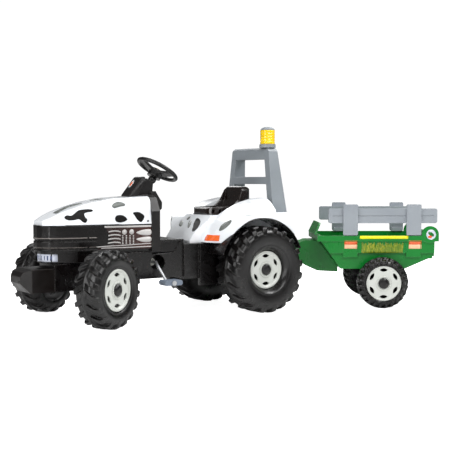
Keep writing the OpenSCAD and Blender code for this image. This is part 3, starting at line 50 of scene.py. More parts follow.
# ---- Camera -----------------------------------------------------------------
# A portrait lens stands off the left front corner of the tractor, a little
# lower than the top of the roll bar, and looks back along the whole rig.
MM = 0.001
LENS_LENGTH = 70.45
FILM_WIDTH = 36
LENS_YAW = math.radians(236.27)
LENS_DIP = math.radians(3.15)
axle_low, axle_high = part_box("rear_axle")
cover_low, cover_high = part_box("rear_cover")
AXLE_X = (axle_low.x + axle_high.x) / 2
MIDDLE_Y = (cover_low.y + cover_high.y) / 2


def at(x, y, z):
    """A place in millimetres ahead of the rear axle, left of the middle, and up from the floor."""
    return Vector((AXLE_X + x * MM, MIDDLE_Y + y * MM, z * MM))


def set_out(name, data):
    """A new object for a mesh, a lamp or a camera, standing in the scene."""
    thing = bpy.data.objects.new(name, data)
    bpy.context.scene.collection.objects.link(thing)
    return thing


camera = set_out("camera", bpy.data.cameras.new("camera"))
camera.data.lens = LENS_LENGTH
camera.data.sensor_width = FILM_WIDTH
camera.location = at(1790.3, 2679.8, 449.1)
sight = Vector((math.cos(LENS_YAW) * math.cos(LENS_DIP), math.sin(LENS_YAW) * math.cos(LENS_DIP),
                -math.sin(LENS_DIP)))
camera.rotation_euler = sight.to_track_quat("-Z", "Y").to_euler()
bpy.context.scene.camera = camera

# ---- Studio -----------------------------------------------------------------
# A white sweep of floor under large soft boxes: high on the left, in front,
# overhead and behind. Two small ones draw bright lines on the tyres and nose.
AIR_LIGHT, AIR_SEEN = 0.12, 1.05  # what the white air gives the rig, and how bright it is to the lens
FLOOR_HALF = 30.0
FLOOR_WHITE = 0.93
FLOOR_SEEN = 0.96


def soft_box(name, place, aim, size, watts):
    """A rectangular lamp at a place, turned to face the point it lights."""
    light = bpy.data.lights.new(name, "AREA")
    light.shape = "RECTANGLE"
    light.size, light.size_y = size
    light.energy = watts
    holder = set_out(name, light)
    holder.location = place
    holder.rotation_euler = (aim - place).to_track_quat("-Z", "Y").to_euler()


def add(tree, kind, inputs=None, **settings):
    """One shader node, with its settings, and each input set or wired."""
    node = tree.nodes.new(kind)
    for label, value in settings.items():
        setattr(node, label, value)
    for label, value in (inputs or {}).items():
        if isinstance(value, bpy.types.NodeSocket):
            tree.links.new(value, node.inputs[label])
        else:
            node.inputs[label].default_value = value
    return node


soft_box("lamp_high_left", at(300, 2300, 2100), at(100, 0, 200), (2.4, 1.0), 42)
soft_box("lamp_front", at(2600, 500, 1300), at(400, 0, 200), (1.2, 1.2), 24)
soft_box("lamp_behind", at(-1500, -1900, 1900), at(0, 0, 250), (3.0, 0.8), 30)
soft_box("lamp_overhead", at(100, 0, 2300), at(100, 0, 0), (3.0, 1.0), 26)
soft_box("lamp_tyre_shine", at(-1150, 850, 1850), at(0, 250, 200), (1.3, 0.5), 30)
soft_box("lamp_corner_shine", at(2700, 1500, 500), at(600, 60, 220), (0.35, 1.2), 16)

world = bpy.data.worlds.new("studio_air")
bpy.context.scene.world = world
world.use_nodes = True
air = world.node_tree.nodes["Background"]
air.inputs["Color"].default_value = (1.0, 1.0, 1.0, 1.0)
seen = add(world.node_tree, "ShaderNodeLightPath").outputs["Is Camera Ray"]
glow = add(world.node_tree, "ShaderNodeMapRange", {"Value": seen, "To Min": AIR_LIGHT, "To Max": AIR_SEEN})
world.node_tree.links.new(glow.outputs["Result"], air.inputs["Strength"])
bpy.context.scene.view_settings.view_transform = "Standard"

bm = bmesh.new()
bmesh.ops.create_grid(bm, x_segments=4, y_segments=4, size=FLOOR_HALF)
floor_mesh = bpy.data.meshes.new("floor")
bm.to_mesh(floor_mesh)
bm.free()
floor = set_out("floor", floor_mesh)
floor_paint = bpy.data.materials.new("floor_paint")
floor_paint.use_nodes = True
tree = floor_paint.node_tree
shader = tree.nodes["Principled BSDF"]
shader.inputs["Base Color"].default_value = (FLOOR_WHITE, FLOOR_WHITE, FLOOR_WHITE, 1.0)
shader.inputs["Roughness"].default_value = 0.9
shader.inputs["Emission Color"].default_value = (1.0, 1.0, 1.0, 1.0)
seen = add(tree, "ShaderNodeLightPath").outputs["Is Camera Ray"]
glow = add(tree, "ShaderNodeMapRange", {"Value": seen, "To Max": FLOOR_SEEN})
tree.links.new(glow.outputs["Result"], shader.inputs["Emission Strength"])
floor_mesh.materials.append(floor_paint)

# ---- Chassis ----------------------------------------------------------------
# The long belly is one blow-moulded shell of black polypropylene, satin with a
# fine spark grain, a little paler where feet and hands rub its edges.
CLOUDS, SMEARS, SPECKS = 7.0, 30.0, 140.0  # sizes of the mottling, the polish marks and the chips, per metre
EDGE_FLAT, EDGE_SHARP = 0.985, 0.86  # how far the eased surface leans away where wear begins and is full
WORN_ROUGH = 0.2


def start_group(name, inputs, outputs):
    """An empty shader group with named sockets: its tree, its inputs and its outputs."""
    tree = bpy.data.node_groups.new(name, "ShaderNodeTree")
    for label, kind, value in inputs:
        socket = tree.interface.new_socket(label, in_out="INPUT", socket_type="NodeSocket" + kind)
        socket.default_value = value
    for label, kind in outputs:
        tree.interface.new_socket(label, in_out="OUTPUT", socket_type="NodeSocket" + kind)
    return tree, tree.nodes.new("NodeGroupInput").outputs, tree.nodes.new("NodeGroupOutput").inputs


moulded, given, made = start_group("moulded_surface", [
    ("Color", "Color", (0.5, 0.5, 0.5, 1)), ("Clouded", "Color", (0.5, 0.5, 0.5, 1)),
    ("Worn", "Color", (0.5, 0.5, 0.5, 1)), ("Smooth", "Float", 0.3), ("Rough", "Float", 0.5),
    ("Grain Size", "Float", 900.0), ("Grain Depth", "Float", 0.00005), ("Edge Radius", "Float", 0.0015),
    ("Wear", "Float", 0.5)], [("Color", "Color"), ("Roughness", "Float"), ("Normal", "Vector")])
spot = add(moulded, "ShaderNodeTexCoord").outputs["Object"]
cloud = add(moulded, "ShaderNodeTexNoise", {"Vector": spot, "Scale": CLOUDS, "Detail": 4.0})
cloudy = add(moulded, "ShaderNodeMapRange", {
    "Value": cloud.outputs["Fac"], "From Min": 0.35, "From Max": 0.72})
body_color = add(moulded, "ShaderNodeMix", {
    "Factor": cloudy.outputs["Result"], "A": given["Color"], "B": given["Clouded"]}, data_type="RGBA")
soft_edge = add(moulded, "ShaderNodeBevel", {"Radius": given["Edge Radius"]}, samples=4)
facing = add(moulded, "ShaderNodeNewGeometry").outputs["Normal"]
turn = add(moulded, "ShaderNodeVectorMath", {0: soft_edge.outputs["Normal"], 1: facing}, operation="DOT_PRODUCT")
edge = add(moulded, "ShaderNodeMapRange", {
    "Value": turn.outputs["Value"], "From Min": EDGE_FLAT, "From Max": EDGE_SHARP})
speck = add(moulded, "ShaderNodeTexNoise", {"Vector": spot, "Scale": SPECKS, "Detail": 4.0})
chips = add(moulded, "ShaderNodeMapRange", {"Value": speck.outputs["Fac"], "From Min": 0.4, "From Max": 0.62})
rubbed = add(moulded, "ShaderNodeMath", {
    0: edge.outputs["Result"], 1: chips.outputs["Result"]}, operation="MULTIPLY")
wear = add(moulded, "ShaderNodeMath", {0: rubbed.outputs["Value"], 1: given["Wear"]}, operation="MULTIPLY")
worn_color = add(moulded, "ShaderNodeMix", {
    "Factor": wear.outputs["Value"], "A": body_color.outputs["Result"], "B": given["Worn"]}, data_type="RGBA")
smear = add(moulded, "ShaderNodeTexNoise", {"Vector": spot, "Scale": SMEARS, "Detail": 6.0, "Distortion": 0.6})
rough = add(moulded, "ShaderNodeMapRange", {
    "Value": smear.outputs["Fac"], "From Min": 0.32, "From Max": 0.68,
    "To Min": given["Smooth"], "To Max": given["Rough"]})
rougher = add(moulded, "ShaderNodeMath", {
    0: wear.outputs["Value"], 1: WORN_ROUGH, 2: rough.outputs["Result"]}, operation="MULTIPLY_ADD")
grain = add(moulded, "ShaderNodeTexNoise", {"Vector": spot, "Scale": given["Grain Size"], "Detail": 2.0})
bump = add(moulded, "ShaderNodeBump", {
    "Distance": given["Grain Depth"], "Height": grain.outputs["Fac"], "Normal": soft_edge.outputs["Normal"]})
moulded.links.new(worn_color.outputs["Result"], made["Color"])
moulded.links.new(rougher.outputs["Value"], made["Roughness"])
moulded.links.new(bump.outputs["Normal"], made["Normal"])


def paint(*rgb):
    """A colour from 0 to 255 as it is printed, for a shader socket."""
    return tuple((v / 255) ** 2.2 for v in rgb) + (1.0,)


def surfaced(name, group, values):
    """A finish, its shader and its group node: colour, roughness and normal come from the group."""
    finish = bpy.data.materials.new(name)
    finish.use_nodes = True
    tree = finish.node_tree
    shader = tree.nodes["Principled BSDF"]
    surface = add(tree, "ShaderNodeGroup", values, node_tree=group)
    for label, socket in (("Color", "Base Color"), ("Roughness", "Roughness"), ("Normal", "Normal")):
        tree.links.new(surface.outputs[label], shader.inputs[socket])
    return finish, shader, surface


def plastic(name, color, clouded, worn, smooth, rough, grain_size=900.0, grain_depth=0.00005, edge=0.0015,
            wear=0.5, coat=0.0, shine=0.5):
    """A moulded plastic finish: its colours, how polished it is, its grain, and how its edges wear."""
    finish, shader, _ = surfaced(name, moulded, {
        "Color": paint(*color), "Clouded": paint(*clouded), "Worn": paint(*worn), "Smooth": smooth,
        "Rough": rough, "Grain Size": grain_size, "Grain Depth": grain_depth, "Edge Radius": edge, "Wear": wear})
    shader.inputs["Coat Weight"].default_value = coat
    shader.inputs["Coat Roughness"].default_value = 0.12
    shader.inputs["Specular IOR Level"].default_value = shine
    return finish


def dress(finish, *names):
    """Gives carried-over nodes their finish."""
    for name in names:
        cad[name].data.materials.clear()
        cad[name].data.materials.append(finish)


belly_black = plastic("belly_black", (13, 11, 11), (19, 16, 16), (76, 70, 66), 0.2, 0.34,
                      grain_size=700.0, grain_depth=0.00004, edge=0.004, wear=0.35)
dress(belly_black, "chassis", "arch_liner_left", "arch_liner_right", "bar_sockets")

# ---- Front weight and steering gear -----------------------------------------
# The stepped weight block is hollow black plastic bolted under the nose. The
# axle beam, knuckles and track rod behind it are zinc-plated steel.
dress(plastic("weight_black", (17, 13, 12), (23, 18, 16), (88, 78, 70), 0.3, 0.45,
              grain_size=500.0, grain_depth=0.00006, edge=0.003, wear=0.4, shine=0.35), "front_weight")

STAINS = 22.0  # size of the dull patches, per metre
DRAW_DEPTH = 0.00004
drawn, given, made = start_group("drawn_metal", [
    ("Color", "Color", (0.5, 0.5, 0.5, 1)), ("Dull", "Color", (0.3, 0.3, 0.3, 1)),
    ("Along", "Vector", (8, 300, 300))], [("Color", "Color"), ("Roughness", "Float"), ("Normal", "Vector")])
spot = add(drawn, "ShaderNodeTexCoord").outputs["Object"]
streak_place = add(drawn, "ShaderNodeVectorMath", {0: spot, 1: given["Along"]}, operation="MULTIPLY")
streak = add(drawn, "ShaderNodeTexNoise", {
    "Vector": streak_place.outputs["Vector"], "Scale": 1.0, "Detail": 3.0})
stain = add(drawn, "ShaderNodeTexNoise", {"Vector": spot, "Scale": STAINS, "Detail": 6.0})
stained = add(drawn, "ShaderNodeMapRange", {"Value": stain.outputs["Fac"], "From Min": 0.45, "From Max": 0.7})
metal_color = add(drawn, "ShaderNodeMix", {
    "Factor": stained.outputs["Result"], "A": given["Color"], "B": given["Dull"]}, data_type="RGBA")
metal_rough = add(drawn, "ShaderNodeMapRange", {"Value": streak.outputs["Fac"], "To Min": 0.2, "To Max": 0.5})
metal_bump = add(drawn, "ShaderNodeBump", {"Distance": DRAW_DEPTH, "Height": streak.outputs["Fac"]})
drawn.links.new(metal_color.outputs["Result"], made["Color"])
drawn.links.new(metal_rough.outputs["Result"], made["Roughness"])
drawn.links.new(metal_bump.outputs["Normal"], made["Normal"])


def metal(name, color, dull, along):
    """A plated or polished steel finish, streaked the way it was drawn."""
    finish, shader, _ = surfaced(name, drawn, {"Color": paint(*color), "Dull": paint(*dull), "Along": along})
    shader.inputs["Metallic"].default_value = 1.0
    return finish


zinc = metal("zinc_plate", (196, 198, 200), (150, 152, 156), (300, 8, 300))
dark_zinc = metal("dark_zinc", (96, 98, 102), (66, 66, 70), (300, 300, 300))
dress(zinc, "front_axle_beam", "rear_axle", "crank", "tie_rod", "trailer_axle", "hitch_pin")
dress(dark_zinc, "knuckle_left", "knuckle_right", "driven_sprocket", "drive_sprocket", "chain", "body_screws")
dress(plastic("bush_white", (222, 222, 214), (206, 206, 198), (240, 240, 236), 0.35, 0.5),
      "crank_bushes", "axle_bushes")

# ---- Tyres ------------------------------------------------------------------
# Each tyre is a hollow blow moulding with two staggered rows of slanting lugs.
# Its swollen walls come off a polished mould, and the lugs are scuffed grey.
tyre_black = plastic("tyre_black", (12, 11, 11), (18, 16, 16), (70, 66, 62), 0.26, 0.38,
                     grain_size=420.0, edge=0.003, wear=0.4)
TYRE_STEPS = 96
LUG_HEIGHT = 0.009
LUG_TOP, LUG_FOOT = 0.19, 0.26  # half widths of a lug, as shares of the pitch
LUG_EASE = 0.0014
PLATE_R = 0.064
PLATE_GAP = 0.0008
PLATE_DEPTH = 0.012
BORE_R = 0.012
SHOULDER = 0.020
SHOULDER_STEP = 15
BULGE = 0.0026
spins = {joint["child"]: joint for joint in frame["joints"]}


def wheel_stand(body, cap, mirrored):
    """Stands wheel space, with Z along the axle away from the vehicle, in its place on the rig."""
    points = [v.co for v in cad[cap].data.vertices]
    middle = sum(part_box(cap), Vector()) / 2
    axis = Vector(spins[body]["axis"]).normalized()
    if mirrored:
        axis = -axis
    level = axis.cross(Vector((0, 0, 1))).normalized()
    across = [p.dot(level) for p in points]
    foot = axis * min(p.dot(axis) for p in points)
    hub = level * (min(across) + max(across)) / 2 + Vector((0, 0, middle.z)) + foot
    turned_back = Matrix.Diagonal((1, -1, 1, 1)) if mirrored else Matrix.Identity(4)
    return Matrix.Translation(hub) @ axis.to_track_quat("Z", "Y").to_matrix().to_4x4() @ turned_back


def spun(profile, steps):
    """A closed profile of (radius, distance along Z) turned once round Z."""
    bm = bmesh.new()
    verts = [bm.verts.new((r, 0, h)) for r, h in profile]
    edges = [bm.edges.new((verts[i], verts[(i + 1) % len(verts)])) for i in range(len(verts))]
    bmesh.ops.spin(bm, geom=verts + edges, axis=(0, 0, 1), cent=(0, 0, 0), angle=2 * math.pi, steps=steps,
                   use_merge=True)
    return bm


def tyre(radius, width, recess, dish, dish_r, lugs, lip):
    """A tyre in wheel space: a turned carcass with a smooth centre rib, and its two rows of lugs."""
    carcass = radius - LUG_HEIGHT
    inboard = recess - width
    half = width / 2
    centre = inboard + half
    seat_r = PLATE_R + PLATE_GAP
    wall_in, wall_out = PLATE_R + lip + 0.007, carcass - SHOULDER
    profile = [
        (BORE_R, -PLATE_DEPTH - 0.008), (PLATE_R - 0.005, -PLATE_DEPTH - 0.008),
        (seat_r, -PLATE_DEPTH + 0.002), (seat_r, min(-0.001, recess - 0.009)),
        (PLATE_R + 0.3 * lip, recess * 0.4 - 0.001), (PLATE_R + 0.75 * lip, recess - 0.008),
        (PLATE_R + lip, recess - 0.0042), (PLATE_R + lip + 0.0025, recess - 0.0034),
        (PLATE_R + lip + 0.0045, recess - 0.0044)]
    profile += [(wall_in + (wall_out - wall_in) * step / 4, recess - BULGE * (1 - step / 4) ** 2)
                for step in range(4)]
    arcs = [math.radians(turn) for turn in range(0, 91, SHOULDER_STEP)]
    profile += [(wall_out + SHOULDER * math.sin(a), recess - SHOULDER * (1 - math.cos(a))) for a in arcs]
    profile += [(carcass, centre + width / 12), (radius - 0.002, centre + width / 14),
                (radius, centre + width / 18), (radius, centre - width / 18),
                (radius - 0.002, centre - width / 14), (carcass, centre - width / 12)]
    profile += [(wall_out + SHOULDER * math.sin(a), inboard + SHOULDER * (1 - math.cos(a)))
                for a in reversed(arcs)]
    profile += [(dish_r + 0.005, inboard), (dish_r + 0.002, inboard + 0.003), (dish_r, inboard + dish),
                (BORE_R, inboard + dish)]
    bm = spun(profile, TYRE_STEPS)
    bmesh.ops.recalc_face_normals(bm, faces=bm.faces[:])
    for face in bm.faces:
        face.smooth = True
    pitch = 2 * math.pi / lugs
    stations = (  # top and root, each as a drop below the tread and a way in from the edge, then the slant
        (0.0004, half * 0.9, 0.011, half * 0.9, 0.0), (0.0004, 0.020, 0.011, 0.024, 0.26),
        (0.0014, 0.011, 0.013, 0.019, 0.36), (0.0055, 0.0045, 0.017, 0.013, 0.44),
        (0.014, 0.0012, 0.024, 0.008, 0.5), (0.026, 0.0002, 0.032, 0.006, 0.55))
    for side, phase in ((1, 0.0), (-1, 0.5)):
        foot = block = None
        old = set(bm.verts)
        crest = []
        for top_drop, top_in, root_drop, root_in, slant in stations:
            along = (phase + slant) * pitch
            narrow, wide = LUG_TOP * pitch, LUG_FOOT * pitch
            corners = [Vector((r * math.cos(a), r * math.sin(a), centre + side * y)) for r, y, a in (
                (radius - root_drop, half - root_in, along - wide),
                (radius - top_drop, half - top_in, along - narrow),
                (radius - top_drop, half - top_in, along + narrow),
                (radius - root_drop, half - root_in, along + wide))]
            if foot is None:
                foot = [bm.verts.new(c) for c in corners]
                block = bm.faces.new(foot)
            else:
                block = bmesh.ops.extrude_discrete_faces(bm, faces=[block])["faces"][0]
                for vert, place in zip(block.verts, corners):
                    vert.co = place
            crest.append(list(block.verts)[1:3])
        bm.faces.new(list(reversed(foot)))
        rims = [e for e in bm.edges if e.verts[0] not in old and any(
            {e.verts[0], e.verts[1]} == {crest[i][k], crest[i + 1][k]}
            for i in range(1, len(crest) - 1) for k in (0, 1))]
        rims += [e for e in bm.edges if {e.verts[0], e.verts[1]} == set(crest[-1])]
        bmesh.ops.bevel(bm, geom=rims, offset=LUG_EASE, segments=2, profile=0.5, affect="EDGES", material=-1)
        lug_faces = [f for f in bm.faces if f.verts[0] not in old]
        lug = [v for v in bm.verts if v not in old] + [e for e in bm.edges if e.verts[0] not in old] + lug_faces
        bmesh.ops.recalc_face_normals(bm, faces=lug_faces)
        bmesh.ops.spin(bm, geom=lug, axis=(0, 0, 1), cent=(0, 0, 0), angle=2 * math.pi * (lugs - 1) / lugs,
                       steps=lugs - 1, use_duplicate=True)
    return bm


def piece_of(name, bm, finish, body):
    """Makes a bmesh a piece of the rig, with its finish and its body."""
    mesh = bpy.data.meshes.new(name)
    bm.to_mesh(mesh)
    bm.free()
    mesh.materials.append(finish)
    piece = set_out(name, mesh)
    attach(piece, body)
    return piece


TYRE_SIZES = (  # radius, width, recess of the plate, depth and radius of the inner dish, lugs, lip of the wall
    ("rear", (0.147, 0.122, 0.026, 0.014, 0.060, 20, 0.017)),
    ("front", (0.120, 0.088, 0.008, 0.048, 0.074, 18, 0.005)),
    ("trailer", (0.090, 0.056, 0.004, 0.008, 0.060, 24, 0.002)))
for kind, sizes in TYRE_SIZES:
    for hand in ("left", "right"):
        node = "%s_tyre_%s" % (kind, hand)
        body = "rear_drive" if node == "rear_tyre_right" else "%s_wheel_%s" % (kind, hand)
        bm = tyre(*sizes)
        stand = wheel_stand(body, "%s_cap_%s" % (kind, hand), hand == "right")
        bmesh.ops.transform(bm, matrix=stand, verts=bm.verts[:])
        if hand == "right":
            bmesh.ops.reverse_faces(bm, faces=bm.faces[:])
        piece = piece_of(node + "_rolled", bm, tyre_black, body)
        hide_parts(node)

# ---- Wheel plates and caps --------------------------------------------------
# A grey injection-moulded plate snaps into each tyre, and a black domed cap
# hides the retaining washer on the end of the axle.
plate_grey = plastic("plate_grey", (200, 203, 197), (190, 193, 187), (222, 224, 218), 0.3, 0.45,
                     grain_size=1100.0, grain_depth=0.00003, wear=0.35)
cap_black = plastic("cap_black", (12, 11, 11), (18, 17, 17), (90, 88, 86), 0.25, 0.4, edge=0.0012)
dress(plate_grey, *[n for n in cad if "_plate_" in n])
dress(cap_black, *[n for n in cad if "_cap_" in n])

# ---- Pedals -----------------------------------------------------------------
# Blue-grey nylon pedals turn freely on the bent ends of the crank rod. Each is
# moulded in one piece, with a coarse grain against slipping.
dress(plastic("pedal_blue", (112, 122, 136), (100, 110, 124), (160, 168, 178), 0.35, 0.5,
              grain_size=600.0, grain_depth=0.00008, edge=0.002), "pedal_left", "pedal_right")

# ---- Rear cover -------------------------------------------------------------
# The saddle and both mudguards are one white moulding, glossy and faintly
# blue in its shaded parts, screwed down over the rear of the chassis.
DOUBLED = 2e-6
SLIVER = 0.0002
CREASE = math.radians(28)
SADDLE_FRONT = at(192, 0, 0).x
SADDLE_HALF = 0.0835
DRAW_IN = 0.42
shell_white = plastic("shell_white", (236, 239, 242), (228, 232, 237), (246, 247, 248), 0.14, 0.25,
                      grain_size=300.0, grain_depth=0.00003, edge=0.003, wear=0.2, coat=0.25)
dress(shell_white, "bonnet")

# The front of the saddle is drawn in, so the deck shows before it and the far guard beyond it.
bm = bmesh.new()
bm.from_mesh(cad["rear_cover"].data)
bmesh.ops.remove_doubles(bm, verts=bm.verts[:], dist=DOUBLED)
bmesh.ops.dissolve_degenerate(bm, edges=bm.edges[:], dist=SLIVER)
bm.normal_update()
for face in bm.faces:
    face.smooth = True
for edge in bm.edges:
    edge.smooth = len(edge.link_faces) == 2 and edge.calc_face_angle(3.0) < CREASE
for vert in bm.verts:
    if vert.co.x > SADDLE_FRONT and abs(vert.co.y - MIDDLE_Y) < SADDLE_HALF:
        vert.co.x = SADDLE_FRONT + (vert.co.x - SADDLE_FRONT) * (1 - DRAW_IN)
rear_shell = piece_of("rear_shell", bm, shell_white, "tractor")
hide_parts("rear_cover")

# ---- Spots and reflectors ---------------------------------------------------
# Hide-like spots are die-cut vinyl stickers smoothed onto the white shell, and
# the orange reflectors are stiffer stickers, their prisms given as a deep, coarse grain.
STICKER_EDGE = 0.0004
STICKER_WEAR = 0.03


def vinyl(name, color, clouded, worn, smooth, rough, **more):
    """A printed or dyed vinyl finish with thin, hardly worn edges."""
    return plastic(name, color, clouded, worn, smooth, rough, edge=STICKER_EDGE, wear=STICKER_WEAR, **more)


def rounded(points, steps=5):
    """A smooth closed outline through a few points."""
    ring = []
    for i in range(len(points)):
        a, b, c, d = (Vector(points[(i + k) % len(points)]) for k in (-1, 0, 1, 2))
        for step in range(steps):
            t = step / steps
            ring.append(0.5 * (2 * b + (c - a) * t + (2 * a - 5 * b + 4 * c - d) * t * t
                               + (3 * b - a - 3 * c + d) * t ** 3))
    return ring


def oval(x, y, half_x, half_y, tilt=0.0, steps=28):
    """An oval outline turned by tilt degrees."""
    lean = Matrix.Rotation(math.radians(tilt), 2)
    turns = [2 * math.pi * i / steps for i in range(steps)]
    return [lean @ Vector((half_x * math.cos(t), half_y * math.sin(t))) + Vector((x, y)) for t in turns]


def from_left(u, v):
    """Where a sticker is pressed on from the left, and which way: u is ahead of the axle, v is up."""
    return at(u, 600, v), Vector((0, -1, 0))


def from_right(u, v):
    """The same from the right."""
    return at(u, -600, v), Vector((0, 1, 0))


def from_front(u, v):
    """From the front: u is left of the middle, v is up."""
    return at(1200, u, v), Vector((-1, 0, 0))


def from_above(u, v):
    """From above: u is ahead of the axle, v is left of the middle."""
    return at(u, v, 900), Vector((0, 0, -1))


SIDES = (("left", 1, from_left), ("right", -1, from_right))
skins = {}


def skin_of(node):
    """The surface of a node or piece, ready to be pressed onto."""
    if node not in skins:
        mesh = cad[node].data if node in cad else bpy.data.objects[node].data
        skins[node] = BVHTree.FromPolygons([v.co for v in mesh.vertices], [p.vertices for p in mesh.polygons])
    return skins[node]


def sticker(name, outline, view, node, body, finish, cell=6.0, lift=0.15, thick=0.3, slack=60.0):
    """A thin sticker, cut to an outline in millimetres and pressed onto a surface from one side.

    Where the press misses, or lands more than slack past the rest, the nearest surface is used.
    """
    bm = bmesh.new()
    ring = [bm.verts.new((p[0], p[1], 0)) for p in outline]
    bm.faces.new(ring)
    for axis in (0, 1):
        low, high = min(p[axis] for p in outline), max(p[axis] for p in outline)
        cuts = max(1, round((high - low) / cell))
        for i in range(1, cuts):
            place, normal = [0, 0, 0], [0, 0, 0]
            place[axis], normal[axis] = low + (high - low) * i / cuts, 1
            bmesh.ops.bisect_plane(bm, geom=bm.verts[:] + bm.edges[:] + bm.faces[:], plane_co=place,
                                   plane_no=normal)
    bmesh.ops.triangulate(bm, faces=bm.faces[:])
    tree = skin_of(node)
    toward = view(0, 0)[1]
    rays = {vert: view(vert.co.x, vert.co.y) for vert in bm.verts}
    hits = {vert: tree.ray_cast(*ray) for vert, ray in rays.items()}
    reach = [hit[3] for hit in hits.values() if hit[0] is not None]
    usual = sum(reach) / len(reach)
    for vert, (start, way) in rays.items():
        place, normal, _, distance = hits[vert]
        if place is None or abs(distance - usual) > slack * MM:
            place, normal, _, _ = tree.find_nearest(start + way * usual)
        if normal.dot(way) > 0:
            normal = -normal
        vert.co = place + normal * lift * MM
    bm.normal_update()
    facing = sum((f.normal * f.calc_area() for f in bm.faces), Vector())
    if facing.dot(toward) > 0:
        bmesh.ops.reverse_faces(bm, faces=bm.faces[:])
    bmesh.ops.solidify(bm, geom=bm.faces[:], thickness=-thick * MM)
    bmesh.ops.recalc_face_normals(bm, faces=bm.faces[:])
    for face in bm.faces:
        face.smooth = True
    return piece_of(name, bm, finish, body)


vinyl_black = vinyl("vinyl_black", (16, 14, 13), (22, 20, 19), (60, 56, 54), 0.4, 0.55, shine=0.2)
vinyl_grey = vinyl("vinyl_grey", (92, 97, 94), (112, 116, 112), (150, 152, 150), 0.2, 0.36)
vinyl_pale = vinyl("vinyl_pale", (196, 202, 202), (212, 216, 216), (226, 228, 228), 0.2, 0.36)
vinyl_orange = vinyl("vinyl_orange", (232, 92, 32), (242, 112, 48), (246, 150, 96), 0.2, 0.3,
                     grain_size=520.0, grain_depth=0.00025, coat=0.5)
GUARD_SPOT = [(161, 282), (165, 295), (173, 306), (187, 315), (199, 319), (195, 306), (184, 293), (171, 283)]
REFLECTOR = [(104, 246), (160, 246), (164, 266), (110, 266)]
guard_spot = rounded(GUARD_SPOT)
for side, sign, view in SIDES:
    sticker("guard_spot_" + side, [(sign * p[0], p[1]) for p in guard_spot], from_front, "rear_shell",
            "tractor", vinyl_grey, cell=3.0, lift=0.3)
    sticker("guard_oval_" + side, oval(48, 334, 22, 4, -4), view, "rear_shell", "tractor", vinyl_pale,
            cell=4.0)
    sticker("reflector_" + side, [(sign * y, z) for y, z in REFLECTOR], from_front, "rear_shell", "tractor",
            vinyl_orange, cell=3.0, lift=0.5, thick=0.8)
SADDLE_SPOTS = (
    ("saddle_spot_tall", vinyl_black, [(43, 289), (20, 301), (6, 312), (8, 318), (25, 316), (52, 306),
                                       (74, 291), (80, 279), (70, 276), (55, 282)]),
    ("saddle_spot_low", vinyl_grey, [(3, 291), (-19, 303), (-24, 310), (-3, 304), (21, 289), (18, 286)]),
    ("saddle_spot_far", vinyl_grey, [(-58, 292), (-77, 304), (-66, 307), (-43, 296), (-35, 288)]),
    ("saddle_spot_top", vinyl_grey, [(-51, 311), (-53, 319), (-44, 323), (-39, 317), (-43, 311)]))
for name, finish, outline in SADDLE_SPOTS:
    sticker(name, rounded(outline), from_front, "rear_shell", "tractor", finish, cell=4.0)

# ---- Seat -------------------------------------------------------------------
# The seat is one black moulding with a rolled front lip and a high back. It is
# hard plastic, polished where the rider slides, and hooks into the cover.
dress(plastic("seat_black", (26, 19, 17), (33, 25, 22), (90, 78, 72), 0.16, 0.28,
              grain_size=500.0, grain_depth=0.00004, edge=0.004, wear=0.4, coat=0.3), "seat")

# ---- Roll bar and beacon ----------------------------------------------------
# The grey bar is a two-part blow moulding. The beacon on its left corner is a
# clear yellow lens between a grey collar and a grey lid.
bar_grey = plastic("bar_grey", (134, 140, 145), (125, 131, 136), (178, 182, 186), 0.3, 0.44,
                   grain_size=650.0, grain_depth=0.00006, edge=0.003, wear=0.4)
dress(bar_grey, "roll_bar", "beacon_base", "beacon_cap")

RIBS = 5
RIB_DEPTH = 0.0012
RIB_EASE = 0.0018
RIB_GAP = 0.0004
LENS_WALL = 0.004
lens_low, lens_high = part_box("beacon_lens")
lens_middle = (lens_low + lens_high) / 2
lens_foot, lens_top = lens_low.z - lens_middle.z, lens_high.z - lens_middle.z
LENS_R = (lens_high.x - lens_low.x) / 2
lens_amber, shader, _ = surfaced("lens_amber", moulded, {
    "Color": paint(255, 214, 20), "Clouded": paint(250, 196, 10), "Worn": paint(255, 240, 150),
    "Smooth": 0.08, "Rough": 0.18, "Grain Depth": 0.000004, "Edge Radius": 0.0008})
shader.inputs["Transmission Weight"].default_value = 0.06
shader.inputs["Coat Weight"].default_value = 0.5
shader.inputs["IOR"].default_value = 1.49


def turned(profile, steps=48):
    """A closed round shape about the beacon's upright axis."""
    bm = spun(profile, steps)
    bmesh.ops.remove_doubles(bm, verts=bm.verts[:], dist=1e-6)
    bmesh.ops.transform(bm, matrix=Matrix.Translation(lens_middle), verts=bm.verts[:])
    bmesh.ops.recalc_face_normals(bm, faces=bm.faces[:])
    for face in bm.faces:
        face.smooth = True
    return bm


# The lens has five stacked ribs, which spread the light, over a small reflector.
lens_profile = []
for rib in range(RIBS):
    low = lens_foot + (lens_top - lens_foot) * rib / RIBS
    high = lens_foot + (lens_top - lens_foot) * (rib + 1) / RIBS
    lens_profile += [(LENS_R - RIB_DEPTH, low + RIB_GAP), (LENS_R, low + RIB_EASE),
                     (LENS_R, high - RIB_EASE), (LENS_R - RIB_DEPTH, high - RIB_GAP)]
lens_profile += [(LENS_R - LENS_WALL, lens_top), (LENS_R - LENS_WALL, lens_foot)]
lens = piece_of("beacon_ribbed_lens", turned(lens_profile), lens_amber, "tractor")
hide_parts("beacon_lens")
lamp_profile = [(0.0001, lens_foot + 0.0005), (LENS_R - 0.006, lens_foot + 0.0005),
                (LENS_R - 0.008, lens_foot + 0.006), (0.006, lens_foot + 0.012), (0.006, lens_top - 0.012),
                (0.004, lens_top - 0.007), (0.0001, lens_top - 0.006)]
reflector_cream = plastic("reflector_cream", (250, 236, 150), (244, 226, 120), (255, 250, 220), 0.2, 0.3)
